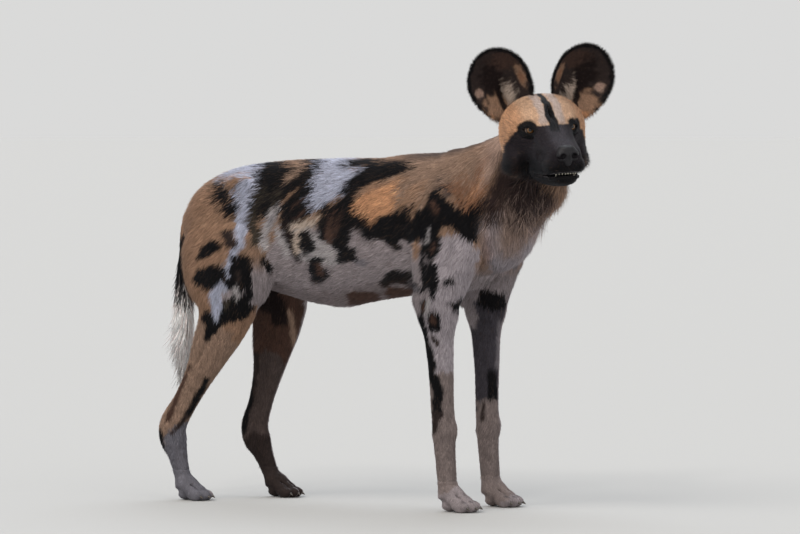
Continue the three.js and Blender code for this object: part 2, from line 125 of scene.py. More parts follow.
HEAD_TURN = turned(4, 2, -46)


def on_head(points):
    """Points of the head's own axes, on the trunk's."""
    return np.asarray(points, float) @ HEAD_TURN.T + HEAD_AT


def to_head(points):
    """Points of the trunk's axes, on the head's own: x ahead, y to its left, z up."""
    return (points - HEAD_AT) @ HEAD_TURN


eye_low, eye_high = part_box("eye_left")
ORIGIN = np.array((eye_low + eye_high) / 2) * 1000 - on_head(EYE)


def metres(points):
    """Millimetres on the trunk's axes as the scene's metres."""
    return (np.asarray(points) + ORIGIN) * 0.001


TORSO = [
    (-456, 0, 516, 14, 10, 10), (-448, 0, 518, 44, 34, 40), (-428, 0, 521, 66, 64, 70),
    (-390, 0, 526, 80, 92, 96, 2.1), (-330, 0, 528, 86, 113, 112, 2.1), (-240, 0, 524, 88, 128, 132, 2.2),
    (-130, 0, 518, 97, 139, 146, 2.2), (-30, 0, 520, 102, 139, 132, 2.2), (60, 0, 530, 98, 139, 128, 2.2),
    (140, 0, 540, 94, 126, 132, 2.2), (205, 0, 534, 88, 100, 112, 2.3), (246, 0, 518, 76, 72, 76, 2.3),
    (268, 0, 510, 44, 36, 38, 2.2), (276, 0, 508, 8, 8, 8),
]
NECK = [
    (90, 0, 562, 74, 92, 112, 2.1, 0), (165, 0, 578, 84, 108, 112, 2.1, -4),
    (222, -3, 610, 78, 98, 92, 2.1, -12), (264, -10, 646, 74, 82, 80, 2, -24),
    (296, -26, 682, 66, 60, 66, 2, -36), (318, -44, 706, 50, 40, 44, 2, -44),
]
TAIL = [
    (-428, 0, 558, 20, 18, 20), (-452, 0, 541, 20, 18, 19), (-466, 0, 511, 15, 15, 16),
    (-470, 0, 476, 14, 14, 14), (-473, 0, 436, 14, 14, 14), (-475, 0, 386, 13, 13, 13),
    (-475, 0, 336, 12, 12, 12), (-476, 0, 291, 10, 10, 10), (-477, 0, 262, 7, 7, 7), (-478, 0, 246, 3, 3, 3),
]
SKULL = [
    (-122, 0, 0, 16, 14, 16), (-112, 0, 2, 42, 36, 42), (-85, 0, 2, 64, 58, 68, 2.1),
    (-50, 0, 0, 80, 66, 84, 2.2), (-16, 0, -4, 76, 60, 92, 2.3), (6, 0, -11, 57, 47, 88, 2.4),
    (28, 0, -21, 41, 38, 82, 2.4), (60, 0, -33, 37, 29, 68, 2.5), (92, 0, -42, 34, 25, 52, 2.5),
    (112, 0, -46, 28, 22, 36, 2.4), (120, 0, -47, 14, 12, 14, 2),
]
JAW = [
    (-40, 0, -64, 28, 18, 20), (-15, 0, -70, 38, 20, 24), (22, 0, -78, 36.5, 20, 22),
    (58, 0, -83, 31, 18, 17), (86, 0, -85, 26, 15, 14), (102, 0, -84, 18, 11, 11), (108, 0, -83, 7, 6, 6),
]
STANCE = {
    "fore_right": dict(side=-1, top=(84, 50, 618), shoulder=(140, 72, 508), elbow=(126, 84, 398),
                       carpus=(136, 76, 152), foot=(145, 75, 27)),
    "fore_left": dict(side=1, top=(84, 50, 618), shoulder=(150, 72, 508), elbow=(138, 84, 398),
                      carpus=(147, 76, 152), foot=(156, 75, 27)),
    "hind_right": dict(side=-1, hip=(-350, 50, 558), stifle=(-322, 80, 362), hock=(-455, 73, 134),
                       foot=(-430, 74, 27)),
    "hind_left": dict(side=1, hip=(-344, 50, 558), stifle=(-303, 80, 358), hock=(-358, 75, 127),
                      foot=(-318, 75, 27)),
}
FORE_SIZES = [
    ("top", "shoulder", 0.0, 30, 34, 12), ("top", "shoulder", 0.45, 70, 60, 37),
    ("top", "shoulder", 1.0, 80, 68, 35), ("shoulder", "elbow", 0.5, 68, 62, 35),
    ("shoulder", "elbow", 1.0, 50, 46, 31), ("elbow", "carpus", 0.13, 42, 42, 28),
    ("elbow", "carpus", 0.3, 29, 29, 24), ("elbow", "carpus", 0.55, 25, 24, 21),
    ("elbow", "carpus", 0.82, 22, 23, 19), ("elbow", "carpus", 1.0, 23, 22, 20),
    ("carpus", "foot", 0.35, 19, 21, 18), ("carpus", "foot", 0.75, 18, 19, 18),
    ("carpus", "foot", 1.0, 19, 18, 20),
]
HIND_SIZES = [
    ("hip", "stifle", 0.0, 46, 56, 16), ("hip", "stifle", 0.25, 100, 92, 40),
    ("hip", "stifle", 0.55, 92, 98, 43), ("hip", "stifle", 0.88, 62, 80, 38),
    ("stifle", "hock", 0.1, 46, 60, 32), ("stifle", "hock", 0.32, 37, 44, 27),
    ("stifle", "hock", 0.56, 27, 31, 21), ("stifle", "hock", 0.78, 21, 29, 17),
    ("stifle", "hock", 0.96, 22, 34, 18), ("hock", "foot", 0.18, 23, 33, 18),
    ("hock", "foot", 0.42, 18, 23, 16), ("hock", "foot", 0.76, 16, 17, 14),
    ("hock", "foot", 1.0, 18, 16, 17),
]


def leg_stations(stance, sizes):
    """A leg's sections, each some share of the way from one joint to the next."""
    out = []
    for start, end, share, fore, aft, side in sizes:
        x, y, z = [a + share * (b - a) for a, b in zip(stance[start], stance[end])]
        out.append((x, stance["side"] * y, z, side, fore, aft, 2.3))
    return out


def ring_faces(rings, sides, flip=False):
    """Four-sided faces between rings of points, and fans to a point past each end, numbered last."""
    ring = np.arange(rings - 1)[:, None] * sides
    here = np.arange(sides)[None]
    following = (here + 1) % sides
    quads = np.stack([ring + here, ring + following, ring + sides + following, ring + sides + here], -1)
    quads = quads.reshape(-1, 4)
    count = rings * sides
    first = np.stack([0 * here[0] + count, following[0], here[0]], 1)
    last = np.stack([0 * here[0] + count + 1, count - sides + here[0], count - sides + following[0]], 1)
    fans = np.vstack([first, last])
    return (quads[:, [0, 3, 2, 1]], fans[:, [0, 2, 1]]) if flip else (quads, fans)


def halved(quads):
    """Two triangles for each four-sided face."""
    return np.vstack([quads[:, :3], quads[:, [0, 2, 3]]])


def loft(stations, per_span=5, sides=40):
    """Rounded sections along a bent axis: x, y, z, half-width, up, down, squareness, turn about Z."""
    full = np.array([tuple(s) + (2, 0)[len(s) - 6:] for s in stations], float)
    padded = np.vstack([full[:1], full, full[-1:]])
    t = np.linspace(0, len(full) - 1, per_span * (len(full) - 1) + 1)
    span = np.minimum(t.astype(int), len(full) - 2)
    t = (t - span)[:, None]
    a, b, c, d = [padded[span + k] for k in range(4)]
    rings = b + 0.5 * t * (c - a + t * (2 * a - 5 * b + 4 * c - d + t * (3 * (b - c) + d - a)))
    centre = rings[:, :3]
    along = np.gradient(centre, axis=0)
    along /= np.linalg.norm(along, axis=1)[:, None]
    turn = np.radians(rings[:, 7])
    up = np.cross(along, np.stack([-np.sin(turn), np.cos(turn), 0 * turn], 1))
    up /= np.linalg.norm(up, axis=1)[:, None]
    side = np.cross(up, along)
    angle = 2 * np.pi * np.arange(sides)[None] / sides
    level, rise = np.cos(angle), np.sin(angle)
    power = 2 / rings[:, 6:7]
    across = np.sign(level) * np.abs(level) ** power * np.maximum(rings[:, 3:4], 0.5)
    reach = np.maximum(np.where(rise > 0, rings[:, 4:5], rings[:, 5:6]), 0.5)
    upward = np.sign(rise) * np.abs(rise) ** power * reach
    points = centre[:, None] + side[:, None] * across[..., None] + up[:, None] * upward[..., None]
    quads, fans = ring_faces(len(rings), sides)
    ends = [points[0].mean(0), points[-1].mean(0)]
    return np.vstack([points.reshape(-1, 3), ends]), np.vstack([halved(quads), fans])


BAND = 20.0  # how far from a surface distances are known


def block(low, high, cell):
    """A box of cells to hold distances: its first cell, how many there are, and a cell's size."""
    start = np.floor(np.array(low) / cell).astype(int)
    shape = tuple(np.ceil(np.array(high) / cell).astype(int) - start)
    return dict(start=start, shape=shape, cell=cell)


def distance(space, shape):
    """Distance to a closed mesh at every cell of a block, negative inside."""
    points, faces = shape
    cell = space["cell"]
    out = np.full(space["shape"], BAND, np.float32)
    low = space["start"] * cell - BAND
    high = (space["start"] + space["shape"]) * cell + BAND
    if (points.min(0) > high).any() or (points.max(0) < low).any():
        return out
    grid = vdb.FloatGrid.createLevelSetFromPolygons(
        points.astype(np.float32), triangles=faces.astype(np.uint32),
        transform=vdb.createLinearTransform(voxelSize=cell), halfWidth=BAND / cell)
    grid.copyToArray(out, ijk=tuple(int(v) for v in space["start"]))
    return out


def union(a, b, soft):
    """Two forms melted into each other over a soft width."""
    share = np.clip(0.5 + 0.5 * (b - a) / soft, 0, 1)
    return b + share * (a - b) - soft * share * (1 - share)


def carve(a, b, soft):
    """The first form with the second pressed out of it."""
    return -union(-a, b, soft)


def mould(field, space, centre, radii, soft, head=False, dent=False, turn=None):
    """Melt one rounded form into the field, or press it out, working only on the cells near it."""
    centre = np.array(centre, float)
    middle = on_head(centre) if head else centre
    reach = max(radii) + 2 * soft + 4
    cell, start = space["cell"], space["start"]
    low = np.maximum(np.floor((middle - reach) / cell).astype(int) - start, 0)
    high = np.minimum(np.ceil((middle + reach) / cell).astype(int) - start, space["shape"])
    if (high <= low).any():
        return
    cells = tuple(slice(a, b) for a, b in zip(low, high))
    axes = [(start[i] + np.arange(low[i], high[i])) * cell for i in range(3)]
    grid = np.stack(np.meshgrid(*axes, indexing="ij"), -1)
    local = (to_head(grid) if head else grid) - centre
    if turn is not None:
        local = local @ turn
    radii = np.array(radii, float)
    size = np.linalg.norm(local / radii, axis=-1)
    slope = np.maximum(np.linalg.norm(local / radii ** 2, axis=-1), 1e-6)
    form = size * (size - 1) / slope
    field[cells] = carve(field[cells], form, soft) if dent else union(field[cells], form, soft)


COAT = dict(torso=5.0, neck=8.0, throat=9.0, tail=3.0, head=2.0)
LIP = 2.6
UPPER_LIP = [
    (12, 37.5, -75.4), (28, 33.5, -75.6), (60, 31.3, -75.8), (92, 29.5, -72), (109, 22, -69.6), (113, 1, -69),
]
LOWER_LIP = [(22, 36.5, -80.9), (58, 31.5, -82.2), (86, 26.2, -82.2), (100, 18, -82.1), (106, 1, -82.2)]
PARTS = {}  # each part's own distances, kept from the trunk's block


def ellipsoid_mesh(centre, radii, rings=11, sides=24):
    """A rounded lump with the given radii."""
    down = np.linspace(0, np.pi, rings + 2)[1:-1, None]
    around = np.linspace(0, 2 * np.pi, sides + 1)[None, :-1]
    ball = [np.sin(down) * np.cos(around), np.sin(down) * np.sin(around), np.cos(down) + 0 * around]
    quads, fans = ring_faces(rings, sides, flip=True)
    points = np.vstack([np.stack(ball, -1).reshape(-1, 3), [[0, 0, 1], [0, 0, -1]]]) * radii + centre
    return points, np.vstack([halved(quads), fans])


def head_part(stations):
    points, faces = loft(stations)
    return on_head(points), faces


# Muscle and bone that show on both sides: centre, radii, softness, pressed in or not, lean in degrees.
BODY_FORMS = [
    ((-250, 92, 548), (46, 9, 44), 16, True, 0),  # hollow before the hip
    ((-312, 62, 606), (26, 12, 14), 14, False, 0),  # hip bone
    ((92, 84, 398), (16, 10, 20), 10, False, 0),  # point of the elbow
    ((176, 108, 520), (12, 5, 70), 12, True, 18),  # before the arm
    ((70, 120, 512), (12, 5, 66), 12, True, -14),  # behind it
    ((-300, 122, 470), (10, 6, 60), 12, True, -28),  # thigh groove
]


def flesh(space, keep=None):
    """The whole body as distances in one block. With keep, each part's own distances are stored there."""
    cell, start = space["cell"], space["start"]
    height = ((start[2] + np.arange(space["shape"][2])) * cell)[None, None]
    parts = {"torso": distance(space, loft(TORSO)) + COAT["torso"]}
    parts["neck"] = distance(space, loft(NECK)) + COAT["neck"]
    throat = distance(space, ellipsoid_mesh((288, 12, 612), (44, 48, 46))) + COAT["throat"]
    parts["neck"] = union(parts["neck"], throat, 24)
    parts["tail"] = distance(space, loft(TAIL)) + COAT["tail"]
    for name, stance in STANCE.items():
        sizes = FORE_SIZES if name.startswith("fore") else HIND_SIZES
        inset = np.interp(height, [60, 300, 420], [1.2, 1.8, 4.0])
        parts[name] = distance(space, loft(leg_stations(stance, sizes))) + inset
    skull, jaw = [distance(space, head_part(stations)) for stations in (SKULL, JAW)]
    parts["head"] = union(skull, jaw, 6) + COAT["head"]
    if keep is not None:
        keep.update(parts)
    field = union(parts["torso"], parts["neck"], 22)
    for name in STANCE:
        field = union(field, parts[name], 12)
    field = union(field, parts["tail"], 10)
    mould(field, space, (-118, 0, 383), (28, 7, 7), 9)
    for hand in (-1, 1):
        fold = -268 if hand < 0 else -250
        mould(field, space, (fold, hand * 66, 438), (26, 16, 52), 20)  # fold of the flank
        for centre, radii, soft, dent, lean in BODY_FORMS:
            middle, turn = np.array(centre) * (1, hand, 1), turned(0, lean, 0)
            mould(field, space, middle, radii, soft, dent=dent, turn=turn)
    for name, stance in STANCE.items():
        if name.startswith("hind"):
            (ax, ay, az), (bx, by, bz) = stance["stifle"], stance["hock"]
            lean = turned(0, -math.degrees(math.atan2(ax - bx, az - bz)), 0)
            for share, wide in ((0.5, 60), (0.8, 44)):
                x, y, z = ax + share * (bx - ax) - 9, ay + share * (by - ay), az + share * (bz - az)
                for out in (-1, 1):  # the hollow before the hamstring
                    hollow = (x, stance["side"] * y + out * 23, z)
                    mould(field, space, hollow, (4.5, 7, wide), 6, dent=True, turn=lean.T)
        else:
            x, y, z = stance["carpus"]
            mould(field, space, (x - 17, stance["side"] * y, z - 8), (6, 7, 8), 6)  # pad behind the wrist
            mould(field, space, (x + 10, stance["side"] * y, z), (11, 16, 16), 12)  # wrist
    field = union(field, parts["head"], 14)
    return field


def surface(field, space):
    """The skin of a moulded form: where its distances change sign."""
    grid = vdb.FloatGrid()
    grid.background = BAND
    grid.transform = vdb.createLinearTransform(voxelSize=space["cell"])
    capped = np.clip(field, -BAND, BAND).astype(np.float32)
    grid.copyFromArray(capped, ijk=tuple(int(v) for v in space["start"]))
    points, quads = grid.convertToQuads(0.0)
    return points.astype(float), quads.astype(int)


def cell_points(space):
    """Where each cell of a block lies."""
    axes = [(space["start"][i] + np.arange(space["shape"][i])) * space["cell"] for i in range(3)]
    return np.stack(np.meshgrid(*axes, indexing="ij"), -1).astype(np.float32)


FACE_BACK = -36.0  # head's x where the finely cut face takes over from the body
TRUNK_CELL, FACE_CELL, PAW_CELL, NOSE_CELL = 6.0, 1.8, 2.5, 0.8  # how finely each is cut
ANKLE = 58.0  # height where the finely cut paws take over
OVERLAP = 5  # how far the pieces run into each other
trunk_space = block((-500, -150, 20), (480, 150, 830), TRUNK_CELL)
trunk = flesh(trunk_space, PARTS)
trunk_points = cell_points(trunk_space)
trunk = np.maximum(trunk, ANKLE - OVERLAP - trunk_points[..., 2])
trunk = np.maximum(trunk, (to_head(trunk_points)[..., 0] - FACE_BACK) - OVERLAP)
skin_pieces = [surface(trunk, trunk_space)]

# The face, cut finer: the brows, the lids round each eye, the lips and the corner of the mouth, the
# cheeks and the soft folds beside the nose. It is the same skin, with the shortest hair of all.
face_space = block((246, -220, 590), (474, 34, 796), FACE_CELL)
face = flesh(face_space)
FACE_FORMS = [
    ((8, 31, 19), (17, 16, 9), 6, False),  # brow
    ((-30, 60, -52), (30, 14, 26), 16, False),  # cheek muscle
    ((26, 44, -14), (9, 7, 12), 8, True),  # under the eye
    ((62, 34, -44), (26, 5, 9), 9, True),  # over the lip
    ((88, 27, -60), (24, 11, 13), 8, False),  # upper lip's pad
    (EYE, (EYE_RADIUS + 2.8,) * 3, 6, False),  # lids
]
for hand in (-1, 1):
    for centre, radii, soft, dent in FACE_FORMS:
        mould(face, face_space, np.array(centre) * (1, hand, 1), radii, soft, head=True, dent=dent)
mould(face, face_space, (30, 0, 34), (22, 3, 12), 9, head=True, dent=True)  # furrow of the brow


def mouth(x):
    """The heights between which the jaws stand apart, along the head."""
    upper = np.interp(x, [-8, 14, 66, 130], [-150, -78, -79, -70])
    lower = np.interp(x, [-7.4, 14.6, 66, 130], [-150, -78.4, -80, -80.5])
    return upper, lower


face_grid = to_head(cell_points(face_space))
head_x, head_z = face_grid[..., 0], face_grid[..., 2]
upper, lower = mouth(head_x)
face = carve(face, np.maximum(head_z - upper, lower - head_z), 1.2)


def strand(field, points, radii, soft):
    """A roll of skin through points of the head's frame."""
    for (a, b), (start_radius, end_radius) in zip(zip(points[:-1], points[1:]), zip(radii[:-1], radii[1:])):
        a, b = np.array(a, float), np.array(b, float)
        near = np.linalg.norm(face_grid - (a + b) / 2, axis=-1) < np.linalg.norm(b - a) / 2 + 12
        local = face_grid[near] - a
        t = np.clip(local @ (b - a) / ((b - a) @ (b - a)), 0, 1)
        radius = start_radius + t * (end_radius - start_radius)
        form = np.linalg.norm(local - t[:, None] * (b - a), axis=1) - radius
        field[near] = union(field[near], form, soft)


for hand in (-1, 1):
    for line, lift in ((UPPER_LIP, 0.6), (LOWER_LIP, 0.2)):
        strand(face, [(x, hand * y, z + lift) for x, y, z in line], [LIP] * len(line), 2.5)

# The folds of skin round the corner of the mouth, and the two wrinkles that run under each eye. Each is
# a shallow groove through a few points, pressed in with rounded edges.
FOLDS = [
    ([(-2, 44, -56), (-12, 44, -70), (-16, 38, -86), (-6, 30, -98)], 2.4),
    ([(30, 38, -10), (20, 47, -12), (6, 55, -8)], 1.6),
    ([(34, 36, -18), (20, 49, -22), (2, 58, -18)], 1.4),
]
for hand in (-1, 1):
    for line, radius in FOLDS:
        for a, b in zip(line[:-1], line[1:]):
            for share in (0.0, 0.25, 0.5, 0.75):
                at = np.array(a) + share * (np.array(b) - np.array(a))
                local = face_grid - at * (1, hand, 1)
                near = np.linalg.norm(local, axis=-1) < 26
                outward = np.abs(local[near] @ np.array([0.3, hand * 0.95, 0.0]))
                form = np.sqrt((outward * 0.12) ** 2 + (local[near] ** 2).sum(1) - outward ** 2) - radius
                face[near] = carve(face[near], form, 2.2)

# Each eye lies in a socket that it just fills, behind an almond opening between two lids. The slit
# slopes down towards the nose and ends there in a small tear corner.
SLIT = 5.7  # half the opening's height
for hand in (-1, 1):
    local = face_grid - EYE * (1, hand, 1)
    yaw = np.radians(hand * 30)
    ahead = local[..., 0] * np.cos(yaw) + local[..., 1] * np.sin(yaw)
    outward = hand * (-local[..., 0] * np.sin(yaw) + local[..., 1] * np.cos(yaw))
    rise = local[..., 2] - 0.16 * outward + 0.8
    reach = np.linalg.norm(local, axis=-1)
    face = carve(face, np.where(reach < 2 * EYE_RADIUS, reach - (EYE_RADIUS - 0.2), BAND), 0.4)
    half = np.where(outward > 0, 11.0, 13.5)
    slit = np.abs(rise) - SLIT * (1 - (outward / half) ** 2)
    slit = np.maximum(slit * 0.8, 2.0 - ahead)
    slit = np.where(reach < 2.2 * EYE_RADIUS, slit, BAND)
    face = carve(face, slit, 1.4)
face = np.maximum(face, FACE_BACK - head_x)
skin_pieces.append(surface(face, face_space))

# The paws: four toes on each foot, webbed behind, with a broad pad under the sole and one under every
# toe. The claws are horn, blunt from walking, and don't draw in.
paw_space = block((-480, -110, -2), (230, 110, 64), PAW_CELL)
paws = flesh(paw_space)
TOES = [(-20, 36, -9), (-7.5, 46, -3), (7.5, 46, 3), (20, 36, 9)]  # across, ahead, spread in degrees
claw_points = []
for name, stance in STANCE.items():
    scale = 1 if name.startswith("fore") else 0.92
    at = np.array([stance["foot"][0], stance["side"] * stance["foot"][1], 0.0])
    for centre, radii, soft in [((9, 0, 29), (23, 20, 19), 12), ((24, 0, 20), (24, 24, 13), 9),
                                ((4, 0, 10), (15, 17, 9.5), 8)]:
        mould(paws, paw_space, at + scale * np.array(centre), scale * np.array(radii), soft)
    for across, ahead, spread in TOES:
        toe = turned(0, 0, spread)
        middle = at + scale * np.array([ahead - 1, across, 11.4])
        pad = middle + scale * (toe @ [2, 0, -7.5])
        mould(paws, paw_space, middle, scale * np.array([18.5, 9.4, 10.4]), 4.5, turn=toe)
        mould(paws, paw_space, pad, scale * np.array([10, 7, 4.4]), 2.5, turn=toe)
        claw_points.append((middle, toe, scale))
    for across, rise, tall in ((-14.25, 26, 8), (14.25, 26, 8), (0, 27, 7)):
        groove = at + scale * np.array([22, across, rise])
        mould(paws, paw_space, groove, scale * np.array([22, 1.6, tall]), 3, dent=True)
paw_height = cell_points(paw_space)[..., 2]
paws = np.maximum(np.maximum(paws, paw_height - ANKLE), 0.3 - paw_height)
skin_pieces.append(surface(paws, paw_space))

# The ears: large rounded cups of thin gristle and skin on a short thick base, open to the front, with
# ridges running down inside to the ear's hole and a small pocket low on the outer edge.
EARS = {"right": dict(side=-1, y=75, z=88, facing=12), "left": dict(side=1, y=86, z=84, facing=1)}
EAR_RINGS, EAR_SIDES = 24, 72


def ear(side, y, z, facing):
    """Points of the ear's front and back, ring by ring from the middle, with its outline's polar place."""
    r = (np.arange(1, EAR_RINGS + 1) / EAR_RINGS)[:, None]
    angle = 2 * np.pi * np.arange(EAR_SIDES)[None] / EAR_SIDES
    level, rise = np.cos(angle) + 0 * r, np.sin(angle) + 0 * r
    r = r + 0 * angle
    low = np.maximum(-rise, 0)
    wide = 57.5 * (1 - 0.16 * low ** 2)
    tall = np.where(rise > 0, 67.5, 76.0)
    ripple = 0.8 * np.sin(9 * angle + side) * r ** 6
    cup = 36 * (1 - r ** 2) * (1 - 0.35 * rise * r)
    across, up = wide * level * r - 8 * side * low * r, tall * rise * r
    inner = side * across  # positive towards the outer edge
    ridge = 5.5 * np.exp(-((inner + 22 + 0.1 * up) / 7) ** 2) * np.exp(-((up + 22) / 34) ** 2)
    ridge += 4.0 * np.exp(-((inner + 4) / 5) ** 2) * np.exp(-((up + 46) / 20) ** 2)
    hole = 9.0 * np.exp(-((inner + 6) / 12) ** 2 - ((up + 40) / 20) ** 2)
    pocket = 4.0 * np.exp(-((inner - 46) / 6) ** 2 - ((up + 34) / 15) ** 2)
    thick = 2.2 + 9 * (1 - r) + hole
    front = np.stack([-cup + ridge - hole + pocket - 0.4 + ripple, across, up], -1)
    back = np.stack([-cup - thick + ripple, across, up], -1)
    place = turned(0, 0, side * facing) @ turned(side * -14, 0, 0) @ turned(0, 8, 0)
    shells = [p @ place.T + (-46, side * y, z) for p in (front, back)]
    return shells, np.stack([r, side * level, rise], -1), place


def shell_mesh(front, back):
    """A closed thin form from two grids of rings that share their rim."""
    rings, sides = front.shape[:2]
    points = np.vstack([front.reshape(-1, 3), back.reshape(-1, 3), front[0].mean(0), back[0].mean(0)])
    count = rings * sides
    quads, fans = ring_faces(rings, sides, flip=True)
    here = np.arange(sides)
    rim, following = count - sides + here, count - sides + (here + 1) % sides
    edge = np.stack([rim, rim + count, following + count, following], 1)
    first = fans[:sides] + (count, 0, 0)
    last = first[:, [0, 2, 1]] + (1, count, count)
    return points, np.vstack([quads, (quads + count)[:, ::-1], edge]), np.vstack([first, last])


ear_shells = {}
for word, place in EARS.items():
    (front, back), polar, axes = ear(**place)
    ear_shells[word] = (on_head(front), on_head(back), polar, HEAD_TURN @ axes)


def normals_of(points, faces):
    """Vertex normals from the faces that meet there."""
    a, b = points[faces[:, 2]] - points[faces[:, 0]], points[faces[:, -1]] - points[faces[:, 1]]
    if faces.shape[1] == 3:
        a, b = points[faces[:, 1]] - points[faces[:, 0]], points[faces[:, 2]] - points[faces[:, 0]]
    flat = np.cross(a, b)
    corners, size = faces.ravel(), faces.shape[1]
    out = np.stack([np.bincount(corners, np.repeat(flat[:, i], size), len(points)) for i in range(3)], 1)
    return out / np.maximum(np.linalg.norm(out, axis=1), 1e-9)[:, None]


def make_object(name, points, face_sets, slot, material):
    """A mesh object from points in millimetres and arrays of faces, riding on the part's one body."""
    mesh = bpy.data.meshes.new(name)
    corners = np.concatenate([f.ravel() for f in face_sets]).astype(np.int32)
    sizes = np.concatenate([np.full(len(f), f.shape[1]) for f in face_sets])
    mesh.vertices.add(len(points))
    mesh.vertices.foreach_set("co", metres(points).astype(np.float32).ravel())
    mesh.loops.add(len(corners))
    mesh.loops.foreach_set("vertex_index", corners)
    mesh.polygons.add(len(sizes))
    mesh.polygons.foreach_set("loop_start", np.concatenate([[0], np.cumsum(sizes)[:-1]]).astype(np.int32))
    mesh.update(calc_edges=True)
    mesh.shade_smooth()
    mesh.materials.append(material)
    made = bpy.data.objects.new(name, mesh)
    bpy.context.collection.objects.link(made)
    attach(made, "root")
    return made


def give_colours(made, colours):
    """Store one colour a point, for the materials to show."""
    layer = made.data.color_attributes.new("markings", "FLOAT_COLOR", "POINT")
    values = np.ones((len(made.data.vertices), 4), np.float32)
    values[:, :3] = colours
    layer.data.foreach_set("color", values.ravel())


# The markings: blotches of black, white and tan that differ from side to side, with soft wavering
# edges. They are dyed into the hair, so skin and coat share one rule.
PAINT = {
    "black": (11, 9, 12), "white": (170, 173, 191), "cream": (190, 172, 158), "tan": (152, 120, 98),
    "orange": (194, 144, 108), "grizzle": (142, 114, 95), "grey": (148, 138, 140), "brown": (78, 56, 47),
    "dark": (50, 40, 38), "rose": (166, 157, 162), "olive": (88, 78, 62), "pale": (166, 160, 161),
    "soot": (32, 26, 31), "slate": (122, 116, 121), "deep": (28, 17, 16), "fawn": (150, 124, 107),
    "rust": (138, 98, 74), "sand": (196, 160, 132), "throat": (46, 33, 31), "ruff": (152, 130, 119),
    "heel": (110, 108, 116), "bark": (58, 51, 43), "night": (68, 64, 70), "dust": (132, 119, 116),
    "brush": (250, 240, 238), "blush": (182, 152, 136), "umber": (80, 68, 65),
}
for name, rgb in PAINT.items():
    share = np.array(rgb) / 255
    PAINT[name] = np.where(share > 0.04, ((share + 0.055) / 1.055) ** 2.4, share / 12.92)

